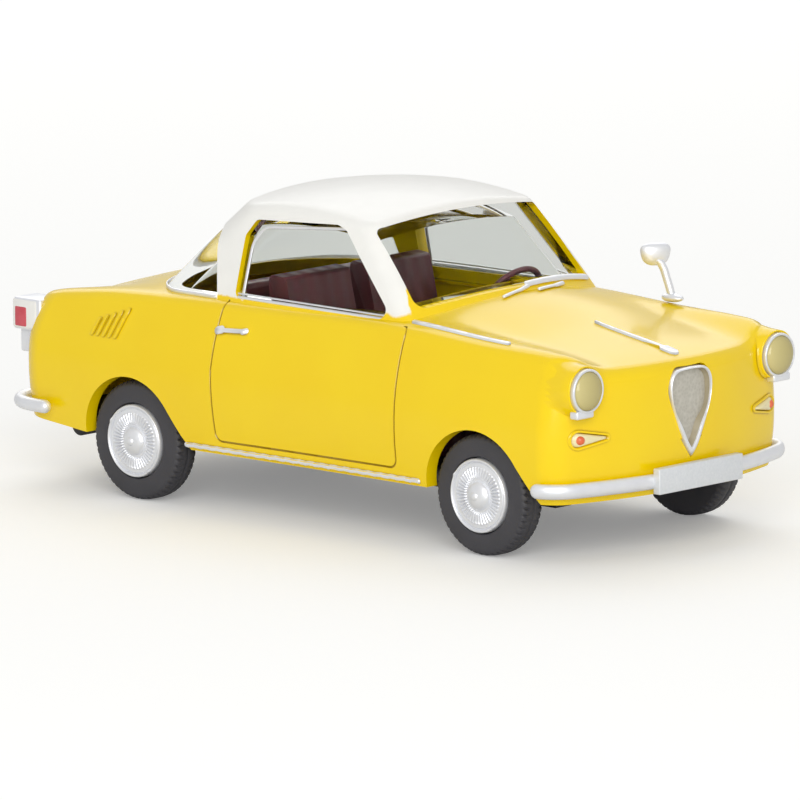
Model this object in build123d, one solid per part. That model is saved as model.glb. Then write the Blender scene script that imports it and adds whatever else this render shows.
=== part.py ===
"""A 1:87 scale model of a two-door microcar coupe with its engine behind: one moulded body with a
thin roof on slim pillars, clear glazing, a seat tub, a floor plate and two free-rolling wheelsets.

Millimetres. +X points forward, +Y to the car's left, +Z up. The origin is on the floor, under the
middle of the overall length.
"""

from build123d import *

import os
from functools import lru_cache

import numpy as np

# Driving dimensions: layout
WHEELBASE = 20.69
FRONT_OVERHANG = 6.50  # front axle to the face of the number plate
REAR_OVERHANG = 8.50  # rear axle to the back of the rear bumper
BODY_WIDTH = 15.0
SILL_Z = 2.70  # lower edge of the body
BELT_Z = 9.50  # foot of the side windows
ROOF_Z = 14.20
BULGE_Z = 5.2  # height where the sides are widest
WALL = 0.65  # moulding thickness
FIT = 0.04  # gap all round between pieces that plug together

# Wheels and axles
TYRE_R = 2.65
TYRE_WIDTH = 1.35
TYRE_ROUND = 0.3
WHEEL_FACE = 7.05  # centre plane to the outer face of a tyre
CAP_R = 1.62
CAP_DEPTH = 0.35
CAP_BEAD = 0.12  # width and height of the bead round a wheel cap
CAP_RIBS = 36
HUB_R = 0.62
AXLE_R = 0.40
AXLE_CLEARANCE = 0.05  # radial, in the bearings
ARCH_GAP = 0.25  # tyre to wheel arch

# Floor plate
PLATE_Z = 2.62  # underside
PLATE_THICKNESS = 0.7
PAN_DEPTH = 0.45  # how far the middle of the floor hangs below the plate
BEARING_LENGTH = 2.2
BEARING_WALL = 0.25  # under the axle
WHEEL_ROOM = 0.35  # floor plate to tyre
SILENCER_R = 0.5

# Cabin
GLASS = 0.50  # thickness of the glazing moulding
PANE_SINK = 0.25  # face of a pane behind the outer face of its pillars
REAR_PANE_SINK = 0.08  # the same for the wrap-round rear window
WINDOW_ROUND = 0.35
SEAT_WIDTH = 4.0
SEAT_Y = 2.55  # centre plane to the middle of a front seat
BACKREST_Z = BELT_Z + 0.9
WHEEL_RIM_R = 1.75  # steering wheel
COLUMN_R = 0.16

# Bumpers, number plate, lamps, grille and small relief
BUMPER_Z = 3.40
REAR_BUMPER_Z = 3.70
BUMPER_HEIGHT = 0.58
BUMPER_DEPTH = 0.55
REAR_BUMPER_DEPTH = 0.90
BUMPER_WRAP = 2.3  # how far a bumper's ends reach along the sides
REAR_BUMPER_WRAP = 3.6  # the same at the back
NUMBER_PLATE = (5.34, 1.14)
LAMP_Y, LAMP_Z = 6.12, 7.70
LAMP_R = 0.98  # silver ring
LENS_R = 0.74
LAMP_LUG = (0.4, 0.9, 0.3)  # lug under a ring: along, across, up
POD_WALL = 0.09  # wing round a ring, at its face
FLASHER_Y, FLASHER_Z = 6.12, 5.50  # middle of its round end
FLASHER_R = 0.31
FLASHER_LENGTH = 1.35  # from there to its point
FLASHER_PROUD, FLASHER_DEPTH = 0.22, 0.30  # how far its lens stands out of the skin, and reaches in
TAIL_LAMP_Y, TAIL_LAMP_Z = 6.05, 7.78
TAIL_LAMP_SIZE = (1.6, 0.9, 1.25)
TAIL_LENS_DEPTH = 0.4
TAIL_LAMP_FRAME = 0.15  # width of the housing round the lens
GRILLE_TOP, GRILLE_TIP, GRILLE_HALF = 8.02, 4.15, 1.32
GRILLE_PROUD, GRILLE_DEPTH = 0.14, 0.34  # rim ahead of the skin, and back of the grille behind it
GRILLE_RIM, MESH_SINK = 0.16, 0.06
RELIEF = 0.10  # how far trim and ribs stand out of the skin
GROOVE = 0.10  # width and depth of the door lines

# Worked out from the sizes above
LENGTH = WHEELBASE + FRONT_OVERHANG + REAR_OVERHANG
FRONT_AXLE_X = LENGTH / 2 - FRONT_OVERHANG
REAR_AXLE_X = REAR_OVERHANG - LENGTH / 2
HALF = BODY_WIDTH / 2
NOSE_X = LENGTH / 2 - 0.60  # front panel, on the centre line
TAIL_X = REAR_BUMPER_DEPTH - LENGTH / 2  # rear panel, on the centre line
CREST_Y = HALF - 1.35  # ridge of the wings
SCREEN_X = FRONT_AXLE_X - 4.05  # foot of the windscreen, on the centre line
BACKLIGHT_X = REAR_AXLE_X - 1.35  # foot of the rear window, on the centre line
LAMP_FACE_X = NOSE_X - 0.38  # front of the headlamp rings
TAIL_LAMP_X = TAIL_X - 0.25  # back of the tail lamps
PILLAR_X = REAR_AXLE_X + 5.10  # rear edge of the side windows
DASH_X = SCREEN_X - 1.6
FAR = 2 * LENGTH  # larger than the model, for cutters


def faired(*stations):
    """A smooth line (natural cubic spline) through (position, value) stations, as a function."""
    at, value = np.array(stations, float).T
    count, step = len(at), np.diff(at)
    rise = np.diff(value) / step
    system, right = np.eye(count), np.zeros(count)
    for i in range(1, count - 1):
        system[i, i - 1:i + 2] = step[i - 1], 2 * (step[i - 1] + step[i]), step[i]
        right[i] = 6 * (rise[i] - rise[i - 1])
    bend = np.linalg.solve(system, right)

    def line(x):
        i = np.clip(np.searchsorted(at, x) - 1, 0, count - 2)
        a, b = (at[i + 1] - x) / step[i], (x - at[i]) / step[i]
        curve = (a**3 - a) * bend[i] + (b**3 - b) * bend[i + 1]
        return a * value[i] + b * value[i + 1] + curve * step[i] ** 2 / 6

    return line


# The lines that shape the lower body, each along its length: top panels on the centre line, their
# fall towards the sides, the crests of the wings over them, and the half width.
top_line = faired(
    (TAIL_X - 1.5, BELT_Z - 3.4), (TAIL_X + 0.9, BELT_Z - 1.55), (REAR_AXLE_X - 4.2, BELT_Z - 0.60),
    (REAR_AXLE_X - 2.3, BELT_Z - 0.12), (REAR_AXLE_X + 1.7, BELT_Z + 0.25), (0, BELT_Z + 0.35),
    (SCREEN_X, BELT_Z + 0.75), (FRONT_AXLE_X + 0.35, BELT_Z - 0.18), (NOSE_X - 0.75, BELT_Z - 1.05),
    (NOSE_X + 1.5, BELT_Z - 1.7),
)
crown_line = faired((TAIL_X, 0.2), (REAR_AXLE_X - 2, 0.5), (0, 0.4), (SCREEN_X, 0.85),
                    (FRONT_AXLE_X + 1, 0.45), (NOSE_X, 0.2))
crest_line = faired((TAIL_X, 0.75), (REAR_AXLE_X - 5, 0.50), (REAR_AXLE_X - 1.3, 0.15), (-5, 0), (3, 0),
                    (SCREEN_X, 0.1), (FRONT_AXLE_X + 1, 0.5), (NOSE_X, 0.75))
width_line = faired((TAIL_X - 1, HALF - 0.40), (REAR_AXLE_X - 2.3, HALF - 0.08), (REAR_AXLE_X, HALF),
                    (0, HALF - 0.05), (FRONT_AXLE_X, HALF), (FRONT_AXLE_X + 3, HALF - 0.08),
                    (NOSE_X + 1, HALF - 0.40))


def body_top(x, y):
    ridge = crest_line(x) * np.exp(-(((np.abs(y) - CREST_Y) / 1.1) ** 2))
    return top_line(x) - crown_line(x) * (y / 6) ** 2 + ridge


def body_side(x, z):
    above, below = np.maximum(z - BULGE_Z, 0), np.maximum(BULGE_Z - z, 0)
    return width_line(x) - 0.95 * (above / 4.2) ** 2 - 0.25 * (below / 2.45) ** 2


def body_nose(y, z):
    above, below = np.maximum(z - 7, 0), np.maximum(5 - z, 0)
    return NOSE_X - 1.05 * (y / 6.2) ** 2 - 0.05 * above**2 - 0.04 * below**2


def body_tail(y, z):
    above, below = np.maximum(z - 6, 0), np.maximum(6 - z, 0)
    return TAIL_X + 0.35 * (y / 6.2) ** 2 + 0.13 * above**2 + 0.02 * below**2


def roof_top(x, y):
    return ROOF_Z - 0.018 * y**2 - 0.022 * (x + 0.9) ** 2


def pillar_side(x, z):
    up = z - BELT_Z
    return HALF - 1.15 - 0.245 * up - 0.008 * np.maximum(up, 0) ** 2 - 0.0055 * (x + 0.4) ** 2


def windscreen(y, z):
    up = z - BELT_Z - 0.85
    return SCREEN_X - 1.12 * up - (0.046 - 0.0075 * up) * y**2


def backlight(y, z):
    up = z - BELT_Z + 0.1
    return BACKLIGHT_X + 1.26 * up + 0.055 * (1 - 0.08 * up) * y**2


def sheet(axis, rule, first, second):
    """A smooth face through a regular net: rule gives each point's place along the axis from its
    two other coordinates."""
    net = list(np.meshgrid(first, second, indexing="ij"))
    net.insert("XYZ".index(axis), rule(*net))
    rows = np.stack(net, -1).tolist()
    return Face.make_surface_from_array_of_points([[tuple(p) for p in row] for row in rows], tol=0.002)


def form(top, side, front, back, ends, foot, crown, inset, slant, rounds):
    """A closed block under a top sheet and between two equal sides, a front and a back. The four
    upright corners are rounded first and then the top edge, all the way round. The inset moves
    every sheet inwards, so one form gives the outside, the inside and what lies between."""
    along, across = np.arange(ends[0] - 1, ends[1] + 1.5, 1.0), np.arange(-HALF - 1, HALF + 1.5, 0.5)
    up = np.arange(foot - 1, crown + 1.5, 0.5)
    width = 2 * HALF + 1.9
    block = Pos((ends[0] + ends[1]) / 2, 0, (foot + crown) / 2) * Box(ends[1] - ends[0], width, crown - foot)
    flank = extrude(sheet("Y", lambda x, z: side(x, z) - inset, along, up), FAR, dir=(0, 1, 0))
    block -= extrude(sheet("Z", lambda x, y: top(x, y) - inset, along, across), FAR, dir=(0, 0, 1))
    block -= flank
    block -= mirror(flank, Plane.XZ)
    block -= extrude(sheet("X", lambda y, z: front(y, z) - slant * inset, across, up), FAR, dir=(1, 0, 0))
    block -= extrude(sheet("X", lambda y, z: back(y, z) + slant * inset, across, up), FAR, dir=(-1, 0, 0))
    for front_end, radius in ((True, rounds[0]), (False, rounds[1])):
        tall = [e for e in block.edges() if abs((e @ 1).Z - (e @ 0).Z) > 0.5 * (crown - foot - 3)]
        corner = [e for e in tall if ((e @ 0.5).X > 0) == front_end]
        block = fillet(corner, max(radius - max(inset, 0), 0.3))
    lid = block.faces().sort_by(Axis.Z)[-1]
    return fillet(lid.edges(), max(rounds[2] - max(inset, 0), 0.2))


@lru_cache(maxsize=None)
def lower_form(inset=0.0):
    """The body below the windows, as a solid block."""
    return form(body_top, body_side, body_nose, body_tail, (TAIL_X - 1, NOSE_X + 1), 0, BELT_Z + 3,
                inset, 1.0, (1.4, 1.6, 0.7))


@lru_cache(maxsize=None)
def upper_form(inset=0.0):
    """Roof, pillars and panes, as a solid block that reaches down into the lower one."""
    return form(roof_top, pillar_side, windscreen, backlight, (BACKLIGHT_X - 1.2, SCREEN_X + 1.7),
                BELT_Z - 1.3, ROOF_Z + 2, inset, 1.4, (1.0, 1.8, 0.7))


def side_cut(points, radius=0.0, gap=0.0):
    """A cutter straight across the car, from an outline of (x, z) points with rounded corners,
    drawn in all round by the gap."""
    outline = Plane.XZ * make_face(Polyline(*points, close=True))
    if radius:
        outline = fillet(outline.vertices(), radius)
    if gap:
        outline = offset(outline, -gap)
    return extrude(outline, FAR, both=True)


DOOR_WINDOW = [
    (PILLAR_X + 0.33, BELT_Z), (PILLAR_X + 0.36, BELT_Z + 2.70), (PILLAR_X + 0.88, BELT_Z + 3.42),
    (SCREEN_X - 5.82, BELT_Z + 3.68), (SCREEN_X - 5.27, BELT_Z + 3.48), (SCREEN_X - 1.8, BELT_Z),
]
REAR_WINDOW = [
    (PILLAR_X - 0.62, BELT_Z - 0.6), (PILLAR_X - 1.47, BELT_Z + 2.83), (PILLAR_X - 2.07, BELT_Z + 3.03),
    (BACKLIGHT_X - 3, BELT_Z + 3.03), (BACKLIGHT_X - 3, BELT_Z - 0.6),
]
DOOR_LINE = [
    (PILLAR_X + 0.02, BELT_Z + 0.5), (PILLAR_X - 0.13, BULGE_Z + 1.2), (PILLAR_X + 0.15, SILL_Z + 0.55),
    (SCREEN_X - 0.48, SILL_Z + 0.61), (SCREEN_X - 0.55, BELT_Z - 0.15), (SCREEN_X - 2.3, BELT_Z + 0.5),
]


def windscreen_cut(gap=0.0):
    """A cutter through the windscreen, from its front view: bowed above and below. It stops
    behind the glass, short of the side windows."""
    foot, head, half_foot, half_head = BELT_Z + 0.45, BELT_Z + 3.65, HALF - 2.05, HALF - 2.45
    low = ThreePointArc((-half_foot, foot), (0, foot + 0.47), (half_foot, foot))
    high = ThreePointArc((half_head, head), (0, head + 0.35), (-half_head, head))
    outline = make_face([low, Line(low @ 1, high @ 0), high, Line(high @ 1, low @ 0)])
    outline = Plane.YZ * fillet(outline.vertices(), WINDOW_ROUND)
    if gap:
        outline = offset(outline, -gap)
    foot_x, head_x = SCREEN_X - 1.9 + gap, SCREEN_X - 6.7 + gap
    ahead = side_cut([(foot_x, BELT_Z), (head_x, BELT_Z + 4.5), (NOSE_X, BELT_Z + 4.5), (NOSE_X, BELT_Z)])
    return (Pos(SCREEN_X - 8, 0, 0) * extrude(outline, 12)) & ahead


def door_window_cut(gap=0.0):
    return side_cut(DOOR_WINDOW, WINDOW_ROUND, gap)


def rear_window_cut(gap=0.0):
    return side_cut(REAR_WINDOW, 0, gap)


def arch_cut(x):
    """Wheel opening: round over the tyre, its front edge swept forward at the foot."""
    r = TYRE_R + ARCH_GAP
    ring = Pos(x, 0, TYRE_R) * Rot(90, 0, 0) * Cylinder(r, FAR)
    sweep = [(x + 0.6 * r, TYRE_R + 0.8 * r), (x + 0.82 * r, TYRE_R + 0.57 * r),
             (x + 1.08 * r, TYRE_R + 0.22 * r), (x + 1.32 * r, SILL_Z - 0.2), (x, SILL_Z - 0.2), (x, TYRE_R)]
    return ring + side_cut(sweep)


def both_sides(piece):
    return piece + mirror(piece, Plane.XZ)


def side_relief():
    """Outlines of what stands out of the sides: louvres, sill strip and door handle."""
    shapes = []
    for i in range(5):
        x, z = REAR_AXLE_X - 2.5 + 0.37 * i, BELT_Z - 2.35
        lean, height = 0.42 + 0.05 * i, 0.80 + 0.14 * i
        shapes.append([(x, z), (x + 0.15, z), (x + 0.15 + lean, z + height), (x + lean, z + height)])
    shapes.append([(REAR_AXLE_X + 3.5, SILL_Z + 0.12), (FRONT_AXLE_X - 3.3, SILL_Z + 0.12),
                   (FRONT_AXLE_X - 3.3, SILL_Z + 0.30), (REAR_AXLE_X + 3.5, SILL_Z + 0.30)])
    return [side_cut(points) for points in shapes]


def wing_strip():
    """Narrow strip on the crest of a wing, from the foot of the windscreen pillar forwards."""
    back, front, half = SCREEN_X - 0.75, FRONT_AXLE_X + 1.0, 0.08
    inner, outer = CREST_Y - 0.15, CREST_Y
    outline = Polyline((back, inner - half), (front, outer - half), (front, outer + half), (back, inner + half),
                       close=True)
    return Pos(0, 0, BELT_Z - 1.5) * extrude(make_face(outline), 3)


def bonnet_blade():
    """Blade down the middle of the bonnet, widening to a small spade at its front end."""
    back, front = FRONT_AXLE_X + 0.35, NOSE_X - 0.80
    points = [(back, 0.06), (front - 0.9, 0.12), (front - 0.75, 0.27), (front - 0.2, 0.25), (front, 0.10)]
    outline = Polyline(*points, *[(x, -y) for x, y in points[::-1]], close=True)
    return Pos(0, 0, BELT_Z - 2.5) * extrude(make_face(outline), 3)


def door_handle():
    """Push button and lever on a door, as one piece of relief."""
    x, z = PILLAR_X + 0.25, BELT_Z - 1.38
    lever = side_cut([(x, z), (x + 1.45, z + 0.08), (x + 1.45, z + 0.22), (x, z + 0.14)])
    for place, r in (((x, z + 0.07), 0.17), ((x + 1.45, z + 0.15), 0.12)):
        lever += Pos(place[0], 0, place[1]) * Rot(90, 0, 0) * Cylinder(r, FAR)
    return lever


def door_groove():
    """The line round a door: a ring cut into the skin, up to the foot of the window."""
    door = Plane.XZ * make_face(Polyline(*DOOR_LINE, close=True))
    door = fillet(door.vertices(), 0.45)
    below_window = Pos(0, 0, BELT_Z - LENGTH / 2 - 0.1) * Box(FAR, FAR, LENGTH)
    return (extrude(door - offset(door, -GROOVE), FAR, both=True) & below_window) - lower_form(GROOVE)


def lamp_pod(side):
    """Rounded nose of a wing round its headlamp, drawn out ahead of the front panel."""
    face_r = LAMP_R + POD_WALL
    pod = Pos(LAMP_FACE_X - 1.1, side * LAMP_Y, LAMP_Z) * Rot(0, 90, 0) * Cone(face_r + 0.19, face_r, 2)
    return fillet(pod.edges().group_by(Axis.X)[-1], 0.06)


def tail_rise():
    """Cutter that lifts the lower edge of the body behind the rear wheels."""
    start, z = REAR_AXLE_X - TYRE_R, SILL_Z
    return side_cut([(start, z - 1), (start, z), (TAIL_X, z + 0.45), (TAIL_X - 1, z + 0.45), (TAIL_X - 1, z - 1)])


def make_body(pockets):
    """One moulding: the two forms joined, hollowed, opened below and cut for windows and wheels."""
    body = upper_form() - door_window_cut() - rear_window_cut() - windscreen_cut() + lower_form()
    body += [lamp_pod(1), lamp_pod(-1)]
    body = body - lower_form(WALL) - upper_form(WALL)
    body -= [Pos(0, 0, SILL_Z - LENGTH / 2) * Box(FAR, FAR, LENGTH), tail_rise()]
    band = lower_form(-RELIEF) - lower_form(0.2)
    relief = side_relief() + [both_sides(wing_strip()), bonnet_blade(), both_sides(flasher_cut(1, 0.12))]
    body += [shape & band for shape in relief]
    body += door_handle() & (lower_form(-0.25) - lower_form(0.2))
    return body - [door_groove(), arch_cut(FRONT_AXLE_X), arch_cut(REAR_AXLE_X)] - pockets


def make_glazing():
    """One clear moulding under the roof, with raised panes that fill the windows."""
    panes = upper_form(PANE_SINK) & (door_window_cut(FIT) + windscreen_cut(FIT))
    panes += upper_form(REAR_PANE_SINK) & rear_window_cut(FIT)
    clear = (panes - lower_form(-FIT)) + upper_form(WALL + FIT) - upper_form(WALL + GLASS)
    return clear - Pos(0, 0, BELT_Z - 0.5 - LENGTH / 2) * Box(FAR, FAR, LENGTH)


def cabin_room():
    """The space inside the body and the glazing that the seat tub may fill."""
    below = lower_form(WALL + 2 * FIT) & Pos(0, 0, BELT_Z - 0.6 - LENGTH / 2) * Box(FAR, FAR, LENGTH)
    return below + upper_form(WALL + GLASS + FIT)


def bench(outline, width):
    """A seat: its side view, rounded, carried across the car."""
    profile = Plane.XZ * make_face(Polyline(*outline, close=True))
    return extrude(fillet(profile.vertices(), 0.25), width / 2, both=True)


def make_interior():
    """Seat tub: floor, two front seats, a rear bench and the dashboard, in one piece."""
    floor_z, floor_thickness = PLATE_Z + PLATE_THICKNESS + FIT, 0.6
    cushion_z = floor_z + 2.2
    back_x, front_x = PILLAR_X - 1.9, DASH_X + 0.6
    floor = Box(front_x - back_x, 2 * (HALF - 1.4), floor_thickness)
    tub = Pos((back_x + front_x) / 2, 0, floor_z + floor_thickness / 2) * floor
    seat = bench([(-3.2, floor_z), (1.6, floor_z), (2.3, cushion_z + 0.2), (-1.2, cushion_z - 0.2),
                  (-2.4, BACKREST_Z - 0.1), (-3.4, BACKREST_Z)], SEAT_WIDTH)
    for side in (1, -1):
        tub += Pos(0, side * SEAT_Y, 0) * seat
    tub += bench([(back_x, floor_z), (back_x + 2.6, floor_z), (back_x + 2.8, cushion_z + 0.4),
                  (back_x + 1.2, cushion_z + 0.3), (back_x + 0.8, BELT_Z + 0.1), (back_x, BELT_Z + 0.2)],
                 2 * (HALF - 2.6))
    tub += bench([(DASH_X, floor_z), (front_x, floor_z), (front_x + 0.2, BELT_Z - 0.6),
                  (DASH_X + 0.2, BELT_Z - 0.3), (DASH_X - 0.6, BELT_Z - 0.8),
                  (DASH_X - 0.6, BELT_Z - 2.2), (DASH_X, BELT_Z - 2.4)], 2 * (HALF - 1.9))
    tub &= cabin_room()
    return tub - steering_place() * Cylinder(COLUMN_R + FIT, 6)


def steering_place():
    """Middle of the steering wheel, its column leaning forwards and down into the dashboard."""
    return Pos(DASH_X - 1.6, SEAT_Y, BELT_Z - 0.5) * Rot(0, -60, 0)


def make_steering_wheel():
    """Rim, three spokes and the column that plugs into the dashboard."""
    wheel = Torus(WHEEL_RIM_R, 0.13) + Cylinder(0.32, 0.26)
    for turn in (90, 210, 330):
        wheel += Rot(0, 0, turn) * Pos(WHEEL_RIM_R / 2, 0, 0) * Box(WHEEL_RIM_R, 0.24, 0.14)
    wheel += Pos(0, 0, -0.9) * Cylinder(COLUMN_R, 1.8)
    return steering_place() * wheel


def wheel_room(x):
    r = TYRE_R + WHEEL_ROOM
    room = Pos(x, 0, TYRE_R) * Box(2 * r, FAR, 4 * r)
    return room - Pos(x, 0, TYRE_R) * Box(2 * r, 2 * (WHEEL_FACE - TYRE_WIDTH - WHEEL_ROOM), 4 * r)


def make_chassis():
    """Floor plate with a sunk pan, axle bearings, and the sump and exhaust box of the engine."""
    middle = PLATE_Z + PLATE_THICKNESS / 2
    plate = Pos(0, 0, middle) * Box(FAR, FAR, PLATE_THICKNESS) & lower_form(WALL + 2 * FIT)
    plate -= tail_rise()
    for x in (FRONT_AXLE_X, REAR_AXLE_X):
        plate -= wheel_room(x)
    inner = WHEEL_FACE - TYRE_WIDTH - WHEEL_ROOM
    pan = Pos((FRONT_AXLE_X + REAR_AXLE_X) / 2, 0, PLATE_Z) * Box(WHEELBASE - 3.4, 2 * inner - 1, 2 * PAN_DEPTH)
    plate += chamfer(pan.faces().sort_by(Axis.Z)[0].edges(), 0.25)
    low = TYRE_R - AXLE_R - AXLE_CLEARANCE - BEARING_WALL
    high = 2 * TYRE_R - low
    for x in (FRONT_AXLE_X, REAR_AXLE_X):
        bearing = Pos(x, 0, (low + high) / 2) * Box(BEARING_LENGTH, 2 * inner, high - low)
        plate += fillet(bearing.edges().filter_by(Axis.Y), 0.3)
    for side in (1, -1):
        plate += Pos(FRONT_AXLE_X + 2.4, side * (inner - 0.5), PLATE_Z) * Box(1, 1, 0.8)
    plate += Pos(REAR_AXLE_X - 4.1, 0, PLATE_Z + 0.2) * Rot(90, 0, 0) * Cylinder(SILENCER_R, BODY_WIDTH - 2.3)
    sump = Pos(REAR_AXLE_X - 2.3, 0, PLATE_Z) * Box(1.8, 3.6, 0.8)
    plate += chamfer(sump.faces().sort_by(Axis.Z)[0].edges(), 0.2)
    for x in (FRONT_AXLE_X, REAR_AXLE_X):
        plate -= Pos(x, 0, TYRE_R) * Rot(90, 0, 0) * Cylinder(AXLE_R + AXLE_CLEARANCE, FAR)
    return plate


def make_axle(x):
    """Plain pin: its ends stop inside the wheels."""
    pin = Cylinder(AXLE_R, 2 * (WHEEL_FACE - CAP_DEPTH - 0.15))
    return Pos(x, 0, TYRE_R) * Rot(90, 0, 0) * chamfer(pin.edges(), 0.08)


def wheel_place(x, side):
    """The outer face of a wheel, looking out."""
    return Pos(x, side * WHEEL_FACE, TYRE_R) * Rot(-90 * side, 0, 0)


def make_tyre():
    """Tyre and wheel in one moulding, its face at zero: a blind bore for the axle, a seat for the cap."""
    tyre = Pos(0, 0, -TYRE_WIDTH / 2) * Cylinder(TYRE_R, TYRE_WIDTH)
    tyre = fillet(tyre.edges(), TYRE_ROUND)
    tyre -= Pos(0, 0, -CAP_DEPTH / 2) * Cylinder(CAP_R + FIT, CAP_DEPTH)
    bore = TYRE_WIDTH - CAP_DEPTH - 0.10
    return tyre - Pos(0, 0, bore / 2 - TYRE_WIDTH) * Cylinder(AXLE_R, bore)


def make_cap():
    """Wheel cap: a disc with a bead round its rim, a ring of radial ribs and a domed hub."""
    cap = Pos(0, 0, -CAP_DEPTH / 2) * Cylinder(CAP_R, CAP_DEPTH)
    bead = Pos(0, 0, CAP_BEAD / 2) * (Cylinder(CAP_R, CAP_BEAD) - Cylinder(CAP_R - CAP_BEAD, CAP_BEAD))
    cap += bead
    rib_in, rib_out = HUB_R + 0.16, CAP_R - CAP_BEAD - 0.08
    rib = Pos((rib_in + rib_out) / 2, 0, 0.03) * Box(rib_out - rib_in, 0.07, 0.08)
    for i in range(CAP_RIBS):
        cap += Rot(0, 0, 360 * i / CAP_RIBS) * rib
    rise = 0.34
    ball = (HUB_R**2 + rise**2) / (2 * rise)
    dome = Pos(0, 0, rise - ball) * Sphere(ball) & Pos(0, 0, 1 - 0.05) * Box(4, 4, 2)
    return cap + dome + Pos(0, 0, rise) * Cylinder(0.17, 0.14)


def bumper_bar(front):
    """A rounded bar that follows the body round one end, clear of its skin by FIT."""
    end, axle, nose = (1, FRONT_AXLE_X, NOSE_X) if front else (-1, REAR_AXLE_X, TAIL_X)
    z, wrap, depth = BUMPER_Z, BUMPER_WRAP, BUMPER_DEPTH
    if not front:
        z, wrap, depth = REAR_BUMPER_Z, REAR_BUMPER_WRAP, REAR_BUMPER_DEPTH
    slab = Pos(axle + end * LENGTH / 2, 0, z) * Box(LENGTH, FAR, BUMPER_HEIGHT)
    bar = lower_form(-depth) & slab
    rim = [e for e in bar.faces().filter_by(Axis.Z).edges() if abs((e @ 0.5).X - axle) > 0.1]
    bar = fillet(rim, 0.4 * BUMPER_HEIGHT)
    r = BUMPER_HEIGHT / 2
    keep = Pos(10 * end, 0, 0) * Box(20, FAR, 2) + Rot(90, 0, 0) * Cylinder(r, FAR)
    return (bar & Pos(nose + end * (r - wrap), 0, z) * keep) - lower_form(-FIT)


def make_front_bumper():
    """Bumper and number plate in one piece."""
    width, height = NUMBER_PLATE
    depth = LENGTH / 2 - NOSE_X + 0.3
    plate = Pos(LENGTH / 2 - depth / 2, 0, BUMPER_Z) * Box(depth, width, height)
    return bumper_bar(True) + (plate - lower_form(-FIT))


def shield(shrink=0.0):
    """Prism along the car in the outline of the grille: broad rounded top, drawn in to a point."""
    top, tip, half = GRILLE_TOP - shrink, GRILLE_TIP + 2.2 * shrink, GRILLE_HALF - shrink
    run = [(0, top), (0.76 * half, top - 0.10), (half, top - 0.75), (0.84 * half, top - 1.75),
           (0.43 * half, tip + 0.85), (0, tip)]
    side = Spline(*run, tangents=((1, 0), (-0.75, -1)))
    other = Spline(*[(-y, z) for y, z in run], tangents=((-1, 0), (0.75, -1)))
    face = make_face([side, other])
    return extrude(Plane(origin=(NOSE_X - 2, 0, 0), x_dir=(0, 1, 0), z_dir=(1, 0, 0)) * face, 3)


def make_grille():
    """Shield let into the front panel: a proud rim round a sunk mesh."""
    rim = (shield() & lower_form(-GRILLE_PROUD)) - lower_form(GRILLE_DEPTH)
    return rim - (shield(GRILLE_RIM) - lower_form(MESH_SINK))


def barrel(side, radius, back, front):
    """Cylinder along the car on the axis of a headlamp, between two distances from its face."""
    middle = LAMP_FACE_X + (back + front) / 2
    return Pos(middle, side * LAMP_Y, LAMP_Z) * Rot(0, 90, 0) * Cylinder(radius, front - back)


def lamp_lug(side, gap=0.0):
    size = [length + 2 * gap for length in LAMP_LUG]
    return Pos(LAMP_FACE_X - 0.25, side * LAMP_Y, LAMP_Z - LAMP_R) * Box(*size)


def make_headlamp_ring(side):
    """Silver ring on a tube that plugs into the wing; a small lug stands under it."""
    ring = barrel(side, LAMP_R, -1.2, 0)
    ring = fillet(ring.edges().group_by(Axis.X)[-1], 0.10)
    return ring + fillet(lamp_lug(side).edges(), 0.08) - barrel(side, LENS_R + FIT, -0.6, 1)


def make_headlamp_lens(side):
    lens = barrel(side, LENS_R, FIT - 0.6, 0.05)
    return fillet(lens.edges().group_by(Axis.X)[-1], 0.22)


def headlamp_pocket(side):
    return barrel(side, LAMP_R + FIT, -2, 1) + lamp_lug(side, FIT)


def flasher_cut(side, gap=0.0):
    """Prism along the car in the outline of a flasher: round outboard, pointed inboard."""
    tip = Pos(-FLASHER_LENGTH, 0) * Circle(0.06 + gap)
    drop = make_hull(Circle(FLASHER_R + gap).edges() + tip.edges())
    if side < 0:
        drop = mirror(drop, Plane.YZ)
    place = Plane(origin=(NOSE_X - 2.5, side * FLASHER_Y, FLASHER_Z), x_dir=(0, 1, 0), z_dir=(1, 0, 0))
    return extrude(place * drop, 3.5)


def make_flasher(side):
    return (flasher_cut(side) & lower_form(-FLASHER_PROUD)) - lower_form(FLASHER_DEPTH)


def tail_lamp_block(side, gap=0.0):
    """Outside of a tail lamp: a box in the end of the wing and a foot below it."""
    depth, width, height = [size + 2 * gap for size in TAIL_LAMP_SIZE]
    x = TAIL_LAMP_X + TAIL_LAMP_SIZE[0] / 2
    block = Pos(x, side * TAIL_LAMP_Y, TAIL_LAMP_Z) * Box(depth, width, height)
    foot = Pos(x + 0.2, side * TAIL_LAMP_Y, TAIL_LAMP_Z - 1.1) * Box(depth - 0.3, width - 0.3, height)
    return fillet(block.edges().filter_by(Axis.X), 0.15) + fillet(foot.edges().filter_by(Axis.X), 0.15)


def lens_window(side, margin, back, front):
    """Box inside the edge of a tail lamp, between two distances from its back."""
    _, width, height = TAIL_LAMP_SIZE
    size = (front - back, width - 2 * margin, height - 2 * margin)
    return Pos(TAIL_LAMP_X + (front + back) / 2, side * TAIL_LAMP_Y, TAIL_LAMP_Z) * Box(*size)


def make_tail_lamp(side):
    """Housing at the end of a wing, with a window for the lens in its back."""
    return tail_lamp_block(side) - lens_window(side, TAIL_LAMP_FRAME, -1, TAIL_LENS_DEPTH)


def make_tail_lens(side):
    lens = lens_window(side, TAIL_LAMP_FRAME + FIT, 0.02, TAIL_LENS_DEPTH - FIT)
    return fillet(lens.edges().group_by(Axis.X)[0], 0.1)


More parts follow.
